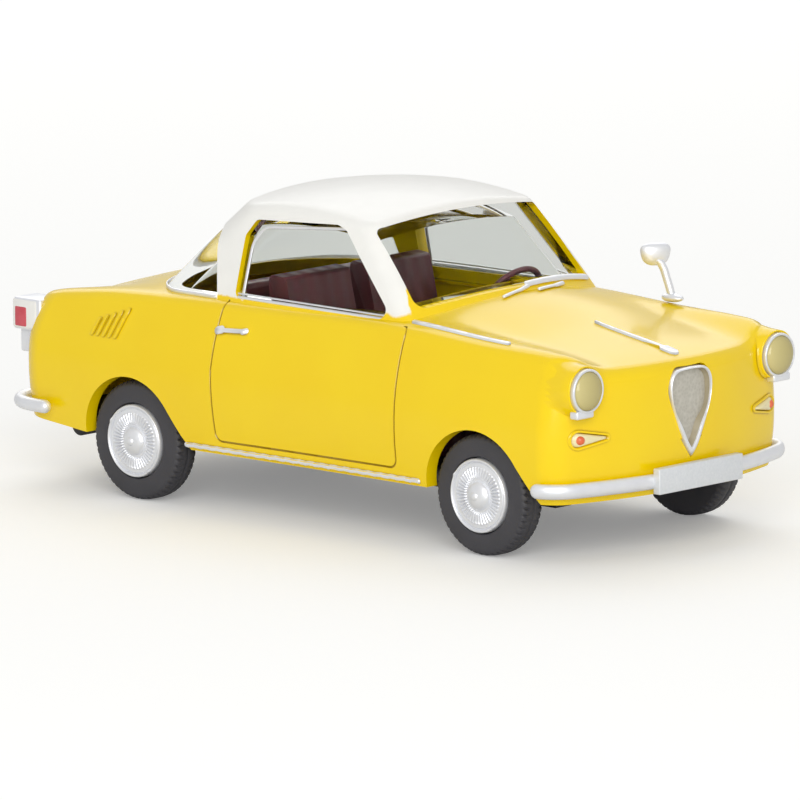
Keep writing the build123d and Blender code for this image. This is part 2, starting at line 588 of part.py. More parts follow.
def make_mirror():
    """Wing mirror: a foot pegged into the wing, a stalk leaning back and a round head."""
    x, y, z = FRONT_AXLE_X - 0.65, CREST_Y - 0.1, BELT_Z
    foot = fillet((Pos(x, y, z) * Cylinder(0.42, 0.36)).edges().group_by(Axis.Z)[-1], 0.15)
    peg = Pos(x, y, z - 0.5) * Cylinder(0.2, 0.8)
    stalk = extrude(Plane(origin=(x, y, z), z_dir=(-0.75, 0, 1.95)) * Circle(0.15), 2.0)
    head = Pos(x - 0.83, y, z + 1.9) * Rot(0, 90, 0) * Cylinder(0.66, 0.42)
    return foot + peg + stalk + fillet(head.edges().group_by(Axis.X)[-1], 0.34)


def main():
    os.makedirs("parts", exist_ok=True)
    nodes = {
        "glazing": make_glazing(), "interior": make_interior(), "steering_wheel": make_steering_wheel(),
        "chassis": make_chassis(), "front_bumper": make_front_bumper(), "rear_bumper": bumper_bar(False),
        "grille": make_grille(), "wing_mirror": make_mirror(),
    }
    pockets = [shield(-FIT) - lower_form(GRILLE_DEPTH + FIT), nodes["wing_mirror"]]
    for name, side in (("left", 1), ("right", -1)):
        nodes[f"headlamp_ring_{name}"] = make_headlamp_ring(side)
        nodes[f"headlamp_lens_{name}"] = make_headlamp_lens(side)
        nodes[f"flasher_{name}"] = make_flasher(side)
        nodes[f"tail_lamp_{name}"] = make_tail_lamp(side)
        nodes[f"tail_lens_{name}"] = make_tail_lens(side)
        pockets += [headlamp_pocket(side), flasher_cut(side, FIT) - lower_form(FLASHER_DEPTH + FIT)]
        pockets.append(tail_lamp_block(side, FIT))
    nodes["body_shell"] = make_body(pockets)
    tyre, cap = make_tyre(), make_cap()
    for end, x in (("front", FRONT_AXLE_X), ("rear", REAR_AXLE_X)):
        nodes[f"{end}_axle"] = make_axle(x)
        for name, side in (("left", 1), ("right", -1)):
            nodes[f"tyre_{end}_{name}"] = wheel_place(x, side) * tyre
            nodes[f"hubcap_{end}_{name}"] = wheel_place(x, side) * cap
    for name, piece in nodes.items():
        export_step(piece, f"parts/{name}.step")


main()
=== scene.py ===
"""A 1:87 scale model of a two-door microcar coupe: yellow body, white painted roof, silver painted
trim, clear glazing, and two wheelsets that roll. +X is forward, +Y the car's left, +Z up."""

import bmesh
import bpy
import numpy as np
from mathutils import Matrix, Vector


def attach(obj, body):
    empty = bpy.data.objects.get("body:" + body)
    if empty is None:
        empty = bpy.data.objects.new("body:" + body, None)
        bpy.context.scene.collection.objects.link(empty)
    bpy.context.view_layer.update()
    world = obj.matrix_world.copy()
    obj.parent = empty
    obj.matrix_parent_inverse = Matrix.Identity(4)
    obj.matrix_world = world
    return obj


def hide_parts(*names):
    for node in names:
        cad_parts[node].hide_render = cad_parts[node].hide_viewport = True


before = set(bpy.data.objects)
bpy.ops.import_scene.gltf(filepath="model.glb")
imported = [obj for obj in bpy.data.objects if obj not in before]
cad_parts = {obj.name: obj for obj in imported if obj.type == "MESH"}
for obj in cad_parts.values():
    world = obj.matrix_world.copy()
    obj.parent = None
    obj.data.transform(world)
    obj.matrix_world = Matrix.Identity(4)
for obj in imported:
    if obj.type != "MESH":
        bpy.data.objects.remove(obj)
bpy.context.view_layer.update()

# --------------------
# Camera: a long lens on a stand, off the model's right front corner and ten degrees above it.
MM = 0.001
scene = bpy.context.scene
turn, rise, roll = np.radians([43.465, 9.853, -0.45])
aim, distance = np.array([0.49, -0.484, 4.722]), 589.28
back = np.array([np.sin(turn) * np.cos(rise), -np.cos(turn) * np.cos(rise), np.sin(rise)])
right = np.array([np.cos(turn), np.sin(turn), 0.0])
up = np.cross(back, right)
right, up = np.cos(roll) * right + np.sin(roll) * up, np.cos(roll) * up - np.sin(roll) * right
camera = bpy.data.objects.new("camera", bpy.data.cameras.new("camera"))
camera.data.lens, camera.data.sensor_width = 605.96, 36.0
camera.data.clip_start, camera.data.clip_end = 0.01, 10.0
stand = Matrix.Translation((aim + distance * back) * MM)
camera.matrix_world = stand @ Matrix(np.stack([right, up, back], 1)).to_4x4()
scene.collection.objects.link(camera)
scene.camera = camera
scene.view_settings.view_transform = "Standard"


# --------------------
# Table and light: a sheet of white paper under the model, a large soft box above and behind it, a
# smaller one beside the camera, and white walls all round.
def srgb(code):
    """Linear RGBA of an sRGB hex colour: each channel is raised to 2.4 above the straight foot."""
    channel = np.array([int(code[i:i + 2], 16) for i in (1, 3, 5)]) / 255
    linear = np.where(channel <= 0.04045, channel / 12.92, ((channel + 0.055) / 1.055) ** 2.4)
    return (*linear.tolist(), 1.0)


def add_node(tree, kind, links=None, **settings):
    """Adds a node: settings are its properties, links gives input sockets a value or a source."""
    node = tree.nodes.new("ShaderNode" + kind)
    for name, value in settings.items():
        setattr(node, name, value)
    for key, value in (links or {}).items():
        if isinstance(value, bpy.types.NodeSocket):
            tree.links.new(value, node.inputs[key])
        else:
            node.inputs[key].default_value = value
    return node


def new_tree(name):
    """An empty node material and its tree."""
    material = bpy.data.materials.new(name)
    material.use_nodes = True
    material.node_tree.nodes.clear()
    return material, material.node_tree


def new_mesh(name, points, faces, material):
    """A mesh object in the scene from an array of points in millimetres and an array of faces."""
    mesh = bpy.data.meshes.new(name)
    mesh.from_pydata((np.asarray(points) * MM).tolist(), [], np.asarray(faces).tolist())
    mesh.materials.append(material)
    obj = bpy.data.objects.new(name, mesh)
    scene.collection.objects.link(obj)
    return obj


# Matt white paper: even and without a shine. It glows faintly to the camera alone, so that it
# stays white under lamps low enough not to bleach the roof.
paper, tree = new_tree("white_paper")
rays = add_node(tree, "LightPath")
diffuse = add_node(tree, "BsdfDiffuse", {"Color": srgb("#F4F4F2")})
glow = add_node(tree, "Emission", {"Color": (1, 1, 1, 1), "Strength": 1.0})
seen = add_node(tree, "Math", {0: rays.outputs["Is Camera Ray"], 1: 0.21}, operation="MULTIPLY")
both = add_node(tree, "AddShader", {0: diffuse.outputs[0], 1: glow.outputs[0]})
shade = add_node(tree, "MixShader", {
    0: seen.outputs[0], 1: diffuse.outputs[0], 2: both.outputs[0]})
add_node(tree, "OutputMaterial", {"Surface": shade.outputs[0]})
table = 3000.0 * np.array([(-1, -1, 0), (1, -1, 0), (1, 1, 0), (-1, 1, 0)])
floor = new_mesh("table_top", table, [(0, 1, 2, 3)], paper)

# The walls have their full brightness to the camera and through glass, 0.70 of it in a mirror
# image and 0.45 of it as light.
world = bpy.data.worlds.new("white_walls")
scene.world = world
world.use_nodes = True
tree = world.node_tree
tree.nodes.clear()
rays = add_node(tree, "LightPath")
straight = add_node(tree, "Math", {
    0: rays.outputs["Is Camera Ray"], 1: rays.outputs["Is Transmission Ray"]}, operation="MAXIMUM")
mirrored = add_node(tree, "Math", {
    0: rays.outputs["Is Glossy Ray"], 1: 0.45}, operation="MULTIPLY")
share = add_node(tree, "Math", {
    0: straight.outputs[0], 1: mirrored.outputs[0]}, operation="MAXIMUM")
level = add_node(tree, "MapRange", {"Value": share.outputs[0], "To Min": 0.45, "To Max": 1.0})
walls = add_node(tree, "Background", {"Color": (1, 1, 1, 1), "Strength": level.outputs[0]})
add_node(tree, "OutputWorld", {"Surface": walls.outputs[0]})


def soft_box(name, place, size, power):
    """A square area light aimed at the model; place and size in millimetres."""
    lamp = bpy.data.lights.new(name, "AREA")
    lamp.shape, lamp.size, lamp.energy = "SQUARE", size * MM, power
    box = bpy.data.objects.new(name, lamp)
    place = Vector(place) * MM
    aimed = place.to_track_quat("Z", "Y").to_matrix().to_4x4()
    box.matrix_world = Matrix.Translation(place) @ aimed
    scene.collection.objects.link(box)


soft_box("box_above", (-170, 170, 240), 320, 0.42)
soft_box("box_front", (230, -240, 130), 220, 0.74)

# --------------------
# Body: one glossy yellow plastic moulding. Its skin follows a few smooth rules, so each corner of
# the mesh takes its normal from them and the lacquer shows no facets.
LENGTH, FRONT_AXLE_X, REAR_AXLE_X = 35.69, 11.345, -9.345
HALF, BELT_Z, ROOF_Z, SILL_Z, BULGE_Z = 7.5, 9.50, 14.20, 2.70, 5.2
NOSE_X, TAIL_X = LENGTH / 2 - 0.60, 0.90 - LENGTH / 2
SCREEN_X, BACKLIGHT_X, CREST_Y = FRONT_AXLE_X - 4.05, REAR_AXLE_X - 1.35, HALF - 1.35
PILLAR_X = REAR_AXLE_X + 5.10
LAMP_X, LAMP_Y, LAMP_Z = NOSE_X - 0.38, 6.12, 7.70
POD_BACK, POD_FACE, SOCKET_END = NOSE_X - 2.48, NOSE_X - 0.53, NOSE_X - 2.385


def faired(*stations):
    """Natural cubic spline through (position, value) stations: a line whose bend is continuous."""
    at, value = np.array(stations, float).T
    count, step = len(at), np.diff(at)
    climb = np.diff(value) / step
    system, load = np.eye(count), np.zeros(count)
    for i in range(1, count - 1):
        system[i, i - 1:i + 2] = step[i - 1], 2 * (step[i - 1] + step[i]), step[i]
        load[i] = 6 * (climb[i] - climb[i - 1])
    bend = np.linalg.solve(system, load)

    def line(x):
        i = np.clip(np.searchsorted(at, x) - 1, 0, count - 2)
        a, b = (at[i + 1] - x) / step[i], (x - at[i]) / step[i]
        curl = (a**3 - a) * bend[i] + (b**3 - b) * bend[i + 1]
        return a * value[i] + b * value[i + 1] + curl * step[i]**2 / 6

    return line


# Lines along the car: height of the centre line, drop of the top towards the sides, height of the
# wing crests over it, and half width.
top_line = faired(
    (TAIL_X - 1.5, BELT_Z - 3.4), (TAIL_X + 0.9, BELT_Z - 1.55),
    (REAR_AXLE_X - 4.2, BELT_Z - 0.60), (REAR_AXLE_X - 2.3, BELT_Z - 0.12),
    (REAR_AXLE_X + 1.7, BELT_Z + 0.25), (0, BELT_Z + 0.35), (SCREEN_X, BELT_Z + 0.75),
    (FRONT_AXLE_X + 0.35, BELT_Z - 0.18), (NOSE_X - 0.75, BELT_Z - 1.05),
    (NOSE_X + 1.5, BELT_Z - 1.7))
crown_line = faired((TAIL_X, 0.2), (REAR_AXLE_X - 2, 0.5), (0, 0.4), (SCREEN_X, 0.85),
                    (FRONT_AXLE_X + 1, 0.45), (NOSE_X, 0.2))
crest_line = faired((TAIL_X, 0.75), (REAR_AXLE_X - 5, 0.50), (REAR_AXLE_X - 1.3, 0.15), (-5, 0),
                    (3, 0), (SCREEN_X, 0.1), (FRONT_AXLE_X + 1, 0.5), (NOSE_X, 0.75))
width_line = faired((TAIL_X - 1, HALF - 0.40), (REAR_AXLE_X - 2.3, HALF - 0.08),
                    (REAR_AXLE_X, HALF), (0, HALF - 0.05), (FRONT_AXLE_X, HALF),
                    (FRONT_AXLE_X + 3, HALF - 0.08), (NOSE_X + 1, HALF - 0.40))


def body_top(x, y):
    """Centre line height, less a parabola across, plus a bell over each wing."""
    bell = crest_line(x) * np.exp(-(((np.abs(y) - CREST_Y) / 1.1) ** 2))
    return top_line(x) - crown_line(x) * (y / 6) ** 2 + bell


def body_side(x, z):
    """Half width, less a parabola above and a flatter one below the bulge."""
    above, below = np.maximum(z - BULGE_Z, 0), np.maximum(BULGE_Z - z, 0)
    return width_line(x) - 0.95 * (above / 4.2) ** 2 - 0.25 * (below / 2.45) ** 2


def body_nose(y, z):
    """Front panel: a parabola across, and one above and one below that lean it back."""
    above, below = np.maximum(z - 7, 0), np.maximum(5 - z, 0)
    return NOSE_X - 1.05 * (y / 6.2) ** 2 - 0.05 * above**2 - 0.04 * below**2


def body_tail(y, z):
    """Rear panel: a parabola across, and one above and one below that run it forwards."""
    above, below = np.maximum(z - 6, 0), np.maximum(6 - z, 0)
    return TAIL_X + 0.35 * (y / 6.2) ** 2 + 0.13 * above**2 + 0.02 * below**2


def roof_top(x, y):
    """Roof: full height less a parabola across and a parabola along."""
    return ROOF_Z - 0.018 * y**2 - 0.022 * (x + 0.9) ** 2


def pillar_side(x, z):
    """Cabin side: leaning in as it rises by a line and a parabola, bowed by a parabola along."""
    rise = z - BELT_Z
    return HALF - 1.15 - 0.245 * rise - 0.008 * np.maximum(rise, 0) ** 2 - 0.0055 * (x + 0.4) ** 2


def windscreen(y, z):
    """Windscreen: a slope, less a parabola across that flattens as it rises."""
    rise = z - BELT_Z - 0.85
    return SCREEN_X - 1.12 * rise - (0.046 - 0.0075 * rise) * y**2


def backlight(y, z):
    """Wrap-round rear window: the other slope, plus a parabola across that flattens upwards."""
    rise = z - BELT_Z + 0.1
    return BACKLIGHT_X + 1.26 * rise + 0.055 * (1 - 0.08 * rise) * y**2


# Each form has a top, a side and two ends; how far an inset moves its ends along the car, and the
# radii of its front and rear upright corners and of its upper edge.
LOWER = dict(top=body_top, side=body_side, front=body_nose, back=body_tail,
             slant=1.0, corner=(1.4, 1.6), lid=0.7)
UPPER = dict(top=roof_top, side=pillar_side, front=windscreen, back=backlight,
             slant=1.4, corner=(1.0, 1.8), lid=0.7)


def gradient(field, points, step=0.01):
    """Central differences of a field along the three axes."""
    shifts = np.eye(3) * step
    return np.stack([(field(points + s) - field(points - s)) / (2 * step) for s in shifts], 1)


def wall(field, points):
    """Distance to the surface where a field is zero, and its unit normal: the field and its
    gradient, each over the gradient's length."""
    value, slope = field(points), gradient(field, points)
    size = np.linalg.norm(slope, axis=1)
    return value / size, slope / size[:, None]


def join(first, second, radius):
    """Two walls met by a round. From the round's centre a point is out by v = p*na + q*nb: between
    the two walls its distance is |v| less the radius, and past either it is that wall's own."""
    (a, na), (b, nb) = first, second
    cosine = np.clip(np.sum(na * nb, 1), -0.99, 0.99)
    p = ((a + radius) - cosine * (b + radius)) / (1 - cosine**2)
    q = ((b + radius) - cosine * (a + radius)) / (1 - cosine**2)
    between = (p > 0) & (q > 0)
    v = p[:, None] * na + q[:, None] * nb
    size = np.maximum(np.linalg.norm(v, axis=1), 1e-9)
    normal = np.where(between[:, None], v / size[:, None], np.where((a > b)[:, None], na, nb))
    return np.where(between, size - radius, np.maximum(a, b)), normal


def skin(form, points, inset=0.0):
    """Distance of points outside a rounded form and its outward normals. The inset, one number or
    one for each point, moves every wall inwards."""
    inset = np.broadcast_to(inset, len(points))

    def field(height):
        return lambda p: height(p[:, 0], np.abs(p[:, 1]), p[:, 2])

    side = wall(field(lambda x, y, z: y - form["side"](x, z) + inset), points)
    front = wall(field(lambda x, y, z: x - form["front"](y, z) + form["slant"] * inset), points)
    rear = wall(field(lambda x, y, z: form["back"](y, z) + form["slant"] * inset - x), points)
    lid = wall(field(lambda x, y, z: z - form["top"](x, y) + inset), points)
    shrink = np.maximum(inset, 0)
    corners = [join(side, end, np.maximum(radius - shrink, 0.3))
               for end, radius in zip((front, rear), form["corner"])]
    ahead = points[:, 0] > 0
    upright = (np.where(ahead, corners[0][0], corners[1][0]),
               np.where(ahead[:, None], corners[0][1], corners[1][1]))
    return join(upright, lid, np.maximum(form["lid"] - shrink, 0.2))


def merged_copy(node, name, materials, body, slot):
    """Copy of a CAD node with its loose triangles welded, smooth except over sharp edges."""
    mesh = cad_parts[node].data.copy()
    mesh.materials.clear()
    for material in materials:
        mesh.materials.append(material)
    obj = bpy.data.objects.new(name, mesh)
    scene.collection.objects.link(obj)
    weld = obj.modifiers.new("weld", "WELD")
    weld.merge_threshold = 0.002 * MM
    view = bpy.context.evaluated_depsgraph_get()
    welded = bpy.data.meshes.new_from_object(obj.evaluated_get(view))
    obj.modifiers.clear()
    obj.data = welded
    bpy.data.meshes.remove(mesh)
    welded.shade_smooth()
    welded.set_sharp_from_angle(angle=np.radians(30))
    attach(obj, body)
    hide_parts(node)
    return obj


def read(items, name, width=0, kind=float):
    """One property of a whole Blender collection as an array."""
    out = np.zeros(len(items) * max(width, 1), kind)
    items.foreach_get(name, out)
    return out.reshape(-1, width) if width else out


def polish(obj, blend=False):
    """Gives each corner of the faces that lie along a form's skin, or along a skin inset from it,
    the normal of the form itself. With blend, the share of the form's normal falls from all of it
    on the skin to none a quarter of a millimetre away. Returns for each face its centre, its
    nearest form (0 the lower, 1 the upper) and how far it lies outside that form."""
    mesh = obj.data
    points = read(mesh.vertices, "co", 3) / MM
    corner_vertex = read(mesh.loops, "vertex_index", kind=int)
    face_size = read(mesh.polygons, "loop_total", kind=int)
    corner_face = np.repeat(np.arange(len(face_size)), face_size)
    centres, flat = read(mesh.polygons, "center", 3) / MM, read(mesh.polygons, "normal", 3)
    normals = read(mesh.corner_normals, "vector", 3)
    best = np.full(len(centres), np.cos(np.radians(22)))
    nearest, outside = np.full(len(centres), -1), np.full(len(centres), 99.0)
    for index, form in enumerate((LOWER, UPPER)):
        depth, _ = skin(form, centres)
        _, normal = skin(form, centres, -depth)
        alike = np.sum(normal * flat, 1)
        fits = (np.abs(alike) > best) & (depth < 0.5) & (depth > -1.4)
        best[fits], nearest[fits], outside[fits] = np.abs(alike)[fits], index, depth[fits]
        mine = fits[corner_face]
        facing = np.sign(alike)[corner_face][mine]
        face_depth = depth[corner_face][mine]
        _, exact = skin(form, points[corner_vertex[mine]], -face_depth)
        share = np.clip(1 - np.abs(face_depth) / 0.25, 0, 1)[:, None] if blend else 1.0
        normals[mine] = exact * facing[:, None] * share + normals[mine] * (1 - share)
    mesh.normals_split_custom_set(normals.tolist())
    return centres, nearest, outside


# Moulded polystyrene under a clear gloss: a saturated yellow, with an orange peel 0.4 mm wide in
# the gloss and a faint cloudiness 4 mm wide. Painted shade: ambient occlusion within 0.2 mm
# darkens the panel gaps and corners to brown, which draws them as fine brown lines.
yellow, tree = new_tree("gloss_lacquered_polystyrene_yellow")
place = add_node(tree, "TexCoord").outputs["Object"]
cloud = add_node(tree, "TexNoise", {"Vector": place, "Scale": 1 / (4.0 * MM), "Detail": 3.0})
tint = add_node(tree, "Mix", {
    "Factor": cloud.outputs[0], 6: srgb("#FBDA00"), 7: srgb("#F6CF00")}, data_type="RGBA")
peel = add_node(tree, "TexNoise", {"Vector": place, "Scale": 1 / (0.4 * MM), "Detail": 2.0})
ripple = add_node(tree, "Bump", {
    "Height": peel.outputs[0], "Strength": 0.05, "Distance": 0.01 * MM})
gloss = add_node(tree, "MapRange", {"Value": cloud.outputs[0], "To Min": 0.14, "To Max": 0.24})
# Painted shade: where the surface is hemmed in within 0.2 mm, the yellow is mixed towards brown.
open_air = add_node(tree, "AmbientOcclusion", {"Distance": 0.2 * MM}, samples=8, only_local=True)
unshaded_share = add_node(tree, "MapRange", {
    "Value": open_air.outputs["AO"], "From Min": 0.35, "From Max": 0.85})
painted_gap_shade = add_node(tree, "Mix", {
    "Factor": unshaded_share.outputs[0], 6: srgb("#94720C"), 7: tint.outputs[2]}, data_type="RGBA")
shader = add_node(tree, "BsdfPrincipled", {
    "Base Color": painted_gap_shade.outputs[2], "IOR": 1.5, "Roughness": gloss.outputs[0],
    "Normal": ripple.outputs[0]})
add_node(tree, "OutputMaterial", {"Surface": shader.outputs[0]})

# White enamel, sprayed over the roof: a soft egg-shell shine with specks 1.1 mm wide, and thin
# enough at the feet of the pillars for the yellow to show through in ragged drips 0.45 mm wide.
white, tree = new_tree("sprayed_enamel_white")
place = add_node(tree, "TexCoord").outputs["Object"]
speck = add_node(tree, "TexNoise", {"Vector": place, "Scale": 1 / (1.11 * MM), "Detail": 4.0})
over_foot = add_node(tree, "Attribute", {}, attribute_name="over_foot")
ragged = add_node(tree, "TexNoise", {"Vector": place, "Scale": 1 / (0.4545 * MM), "Detail": 2.0})
above = add_node(tree, "Math", {
    0: ragged.outputs[0], 1: -0.4, 2: over_foot.outputs["Fac"]}, operation="MULTIPLY_ADD")
cover = add_node(tree, "MapRange", {
    "Value": above.outputs[0], "From Min": -0.05, "From Max": 0.06})
tint = add_node(tree, "Mix", {
    "Factor": speck.outputs[0], 6: srgb("#FAF9F4"), 7: srgb("#F1F0EB")}, data_type="RGBA")
coat = add_node(tree, "Mix", {
    "Factor": cover.outputs[0], 6: srgb("#F8D400"), 7: tint.outputs[2]}, data_type="RGBA")
shader = add_node(tree, "BsdfPrincipled", {
    "Base Color": coat.outputs[2], "Roughness": 0.32, "IOR": 1.5})
add_node(tree, "OutputMaterial", {"Surface": shader.outputs[0]})

# Silver paint brushed or printed on: aluminium flakes in a clear binder, with brush marks 0.67 mm
# wide. The flakes are drawn 0.083 mm wide, twice as coarse as they are, so that they glitter.
silver, tree = new_tree("aluminium_flake_paint")
place = add_node(tree, "TexCoord").outputs["Object"]
flake = add_node(tree, "TexVoronoi", {"Vector": place, "Scale": 1 / (0.0833 * MM)})
streak = add_node(tree, "TexNoise", {"Vector": place, "Scale": 1 / (0.667 * MM), "Detail": 3.0})
shine = add_node(tree, "MapRange", {
    "Value": flake.outputs["Distance"], "To Min": 0.30, "To Max": 0.46})
tint = add_node(tree, "Mix", {
    "Factor": streak.outputs[0], 6: srgb("#F3F4F7"), 7: srgb("#E1E3E8")}, data_type="RGBA")
grain = add_node(tree, "Bump", {
    "Height": flake.outputs["Distance"], "Strength": 0.12, "Distance": 0.02 * MM})
shader = add_node(tree, "BsdfPrincipled", {
    "Base Color": tint.outputs[2], "Metallic": 0.55, "Roughness": shine.outputs[0],
    "Normal": grain.outputs[0]})
add_node(tree, "OutputMaterial", {"Surface": shader.outputs[0]})

body = merged_copy("body_shell", "painted_body", (yellow, white, silver), "car", "yellow_body")
points = read(body.data.vertices, "co", 3) / MM
x, y, z = points.T
out, away = skin(LOWER, points)
from_axis = np.hypot(np.abs(y) - LAMP_Y, z - LAMP_Z)
# The wing runs into each lamp pod: how far the pod stands out of the wing grows from nothing at
# its back to the whole of it at its face, by a smooth step. The blind end of the lamp's socket is
# half as wide, so that it stays under the wing.
socket = (np.abs(x - SOCKET_END) < 0.03) & (from_axis < 1.15)
on_axis = np.stack([x, np.sign(y) * LAMP_Y, np.full(len(x), LAMP_Z)], 1)
points[socket] = (points + on_axis)[socket] / 2
pod = (from_axis < 1.5) & (x > POD_BACK - 0.565) & (x < POD_FACE - 0.015) & (out > 0) & ~socket
ramp = np.clip((x - POD_BACK) / (POD_FACE - POD_BACK), 0, 1)
keep = np.where(pod, ramp**2 * (3 - 2 * ramp), 0.0)
# The left wing's silver strip is left off: its points are drawn in to the skin.
left_strip = (y > 4.6) & (x > 5.5) & (x < 12.9) & (z > 8.6)
left_strip &= (out > 0.015) & (out < 0.35) & (skin(UPPER, points)[0] > 0.15)
drawn_in = pod | left_strip
points[drawn_in] -= (away * (out * (1 - keep))[:, None])[drawn_in]
body.data.vertices.foreach_set("co", (points * MM).ravel())
# How far a point lies over the foot of the white: the wings' skin, or higher along the scuttle and
# under the rear window, which stay yellow.
scuttle = np.clip((5.75 - np.abs(y)) / 0.35, 0, 1) * ((x > 4.6) | (x < -5.4)) * (z < 12)
over_foot = body.data.attributes.new("over_foot", "FLOAT", "POINT")
over_foot.data.foreach_set("value", skin(LOWER, points)[0] - 0.9 * scuttle)

# Paint: white on what lies on the cabin's skin, silver on what stands out of the sides and crests,
# which is the sill bead, the door handles, the right wing's strip and the bonnet blade.
centre, form, outside = polish(body, blend=True)
x, y, z = centre.T
out_lower, out_upper = skin(LOWER, centre)[0], skin(UPPER, centre)[0]
paint = np.zeros(len(centre), int)
paint[(form == 1) & (np.abs(outside) < 0.03) & (out_lower > 0)] = 1
raised = (out_lower > 0.03) & (out_lower < 0.4) & (out_upper > 0.15)
sill = z < SILL_Z + 0.5
handle = (x > PILLAR_X) & (x < PILLAR_X + 2.2) & (z > 7.5)
right_strip = (x > SCREEN_X - 1) & (x < FRONT_AXLE_X + 1.2) & (z > 8.6) & (y < 0)
blade = (np.abs(y) < 0.5) & (x > FRONT_AXLE_X)
paint[raised & (sill | handle | right_strip | blade)] = 2
body.data.polygons.foreach_set("material_index", paint)

# --------------------
# Glazing: one clear polystyrene moulding half a millimetre thick that plugs into the roof. Its
# window edges carry thin silver paint lines.
# Clear polystyrene: sharp reflections, bent a little by flow marks 2 mm wide. Its index is far
# below the true 1.59, because there the cut edges of the windows turn black.
clear, tree = new_tree("clear_polystyrene")
place = add_node(tree, "TexCoord").outputs["Object"]
wave = add_node(tree, "TexNoise", {"Vector": place, "Scale": 1 / (2.0 * MM), "Detail": 1.0})
flow = add_node(tree, "Bump", {"Height": wave.outputs[0], "Strength": 0.08, "Distance": 0.03 * MM})
shader = add_node(tree, "BsdfPrincipled", {
    "Base Color": srgb("#F1F3F1"), "Roughness": 0.02, "IOR": 1.06, "Transmission Weight": 1.0,
    "Normal": flow.outputs[0]})
add_node(tree, "OutputMaterial", {"Surface": shader.outputs[0]})
polish(merged_copy("glazing", "clear_glazing", (clear,), "car", "clear_glazing"))


def net(points):
    """(points, faces) pair of rows of points: quads between neighbours, the last column joined to
    the first."""
    rows, columns = points.shape[:2]
    i, j = np.meshgrid(np.arange(rows - 1) * columns, np.arange(columns), indexing="ij")
    k = (j + 1) % columns
    faces = np.stack([i + j, i + k, i + columns + k, i + columns + j], -1)
    return points.reshape(-1, 3), faces.reshape(-1, 4)


def piece(name, shape, material=silver, body="car", node=None):
    """Makes a piece of a (points, faces) pair: welds its seams and poles, turns every face
    outwards, smooths all but sharp edges, and fixes it to its body."""
    obj = new_mesh(name, *shape, material)
    work = bmesh.new()
    work.from_mesh(obj.data)
    bmesh.ops.remove_doubles(work, verts=work.verts, dist=0.0005 * MM)
    bmesh.ops.recalc_face_normals(work, faces=work.faces)
    work.to_mesh(obj.data)
    work.free()
    obj.data.shade_smooth()
    obj.data.set_sharp_from_angle(angle=np.radians(40))
    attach(obj, body)
    if node:
        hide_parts(node)


def length_along(line):
    """How far along a line each of its points lies."""
    return np.r_[0, np.cumsum(np.linalg.norm(np.diff(line, axis=0), axis=1))]


def unit(vectors):
    """Vectors of the same headings, each one long."""
    return vectors / np.linalg.norm(vectors, axis=1)[:, None]


def bar(path, across, upward, width, height, rings=10, tips=5):
    """Rounded bar along a path: at each point an ellipse of the given half width and half height,
    drawn in at both ends by a quarter circle. across and upward are its axes, one each or one for
    every point."""
    path = np.asarray(path, float)
    run = length_along(path)
    tip = min(max(width, height), run[-1] / 2)
    quarter = np.linspace(0, np.pi / 2, tips + 1)[:-1]
    into = tip * (1 - np.cos(quarter))
    stations = np.r_[into, np.linspace(tip, run[-1] - tip, len(path)), run[-1] - into[::-1]]
    size = np.r_[np.sin(quarter), np.ones(len(path)), np.sin(quarter)[::-1]][:, None]

    def along(values):
        values = np.broadcast_to(np.asarray(values, float), (len(path), 3))
        return np.stack([np.interp(stations, run, v) for v in values.T], 1)[:, None]

    angle = np.linspace(0, 2 * np.pi, rings, endpoint=False)
    aside, above = width * size * np.cos(angle), height * size * np.sin(angle)
    return net(along(path) + along(across) * aside[..., None] + along(upward) * above[..., None])


def several(shapes):
    """Joins (points, faces) pairs into one: each one's faces count from where its points begin."""
    points, faces = zip(*shapes)
    first = np.cumsum([0] + [len(p) for p in points])
    return np.concatenate(points), np.concatenate([f + n for f, n in zip(faces, first)])


def on_both_sides(shape):
    """A (points, faces) pair and its mirror image across the car."""
    points, faces = shape
    return several([shape, (points * (1, -1, 1), faces)])


def on_pane(points, inset):
    """Moves points along the cabin form's normal until they lie on it inset by that much."""
    points = np.array(points, float)
    for _ in range(4):
        depth, normal = skin(UPPER, points, inset)
        points -= depth[:, None] * normal
    return points, normal


def rounded_line(corners, radius):
    """Closed polygon with each corner replaced by a quadratic curve that starts a radius away."""
    corners = np.array(corners)
    before, after = (np.roll(corners, shift, 0) - corners for shift in (1, -1))
    start, end = corners + unit(before) * radius, corners + unit(after) * radius
    t = np.linspace(0, 1, 7)[None, :, None]
    curve = (1 - t) ** 2 * start[:, None] + 2 * t * (1 - t) * corners[:, None]
    line = (curve + t**2 * end[:, None]).reshape(-1, corners.shape[1])
    return np.r_[line, line[:1]]


def evenly(line, step):
    """The same line with points a step apart."""
    line = np.asarray(line, float)
    run = length_along(line)
    at = np.linspace(0, run[-1], max(int(run[-1] / step), 3))
    return np.stack([np.interp(at, run, v) for v in line.T], 1)


# Door window frames: a painted line up the rear edge of each side window and along its head, open
# at the front, and a double ledge along its foot.
foot_back, foot_front = PILLAR_X + 0.62, SCREEN_X - 2.05
frame_line = rounded_line(
    [(foot_front + 0.5, BELT_Z - 0.1), (foot_back, BELT_Z - 0.1),
     (foot_back + 0.05, BELT_Z + 2.55), (foot_back + 0.62, BELT_Z + 3.32),
     (SCREEN_X - 5.1, BELT_Z + 3.80)], 0.3)[3:-4]
points, normal = on_pane(np.insert(evenly(frame_line, 0.12), 1, -6.0, axis=1), 0.23)
side = unit(np.cross(normal, np.gradient(points, axis=0)))
sash = bar(points, side, normal, 0.075, 0.045, rings=8)
foot_line = evenly([(foot_back - 0.25, BELT_Z + 0.03), (foot_front + 0.1, BELT_Z)], 0.25)
points, _ = on_pane(np.insert(foot_line, 1, -6.2, axis=1), 0.12)
ledge = bar(points, (0, 0, 1), (0, 1, 0), 0.10, 0.12, rings=8)
ledge_above = bar(points + (0, 0.06, 0.17), (0, 0, 1), (0, 1, 0), 0.045, 0.06, rings=8)
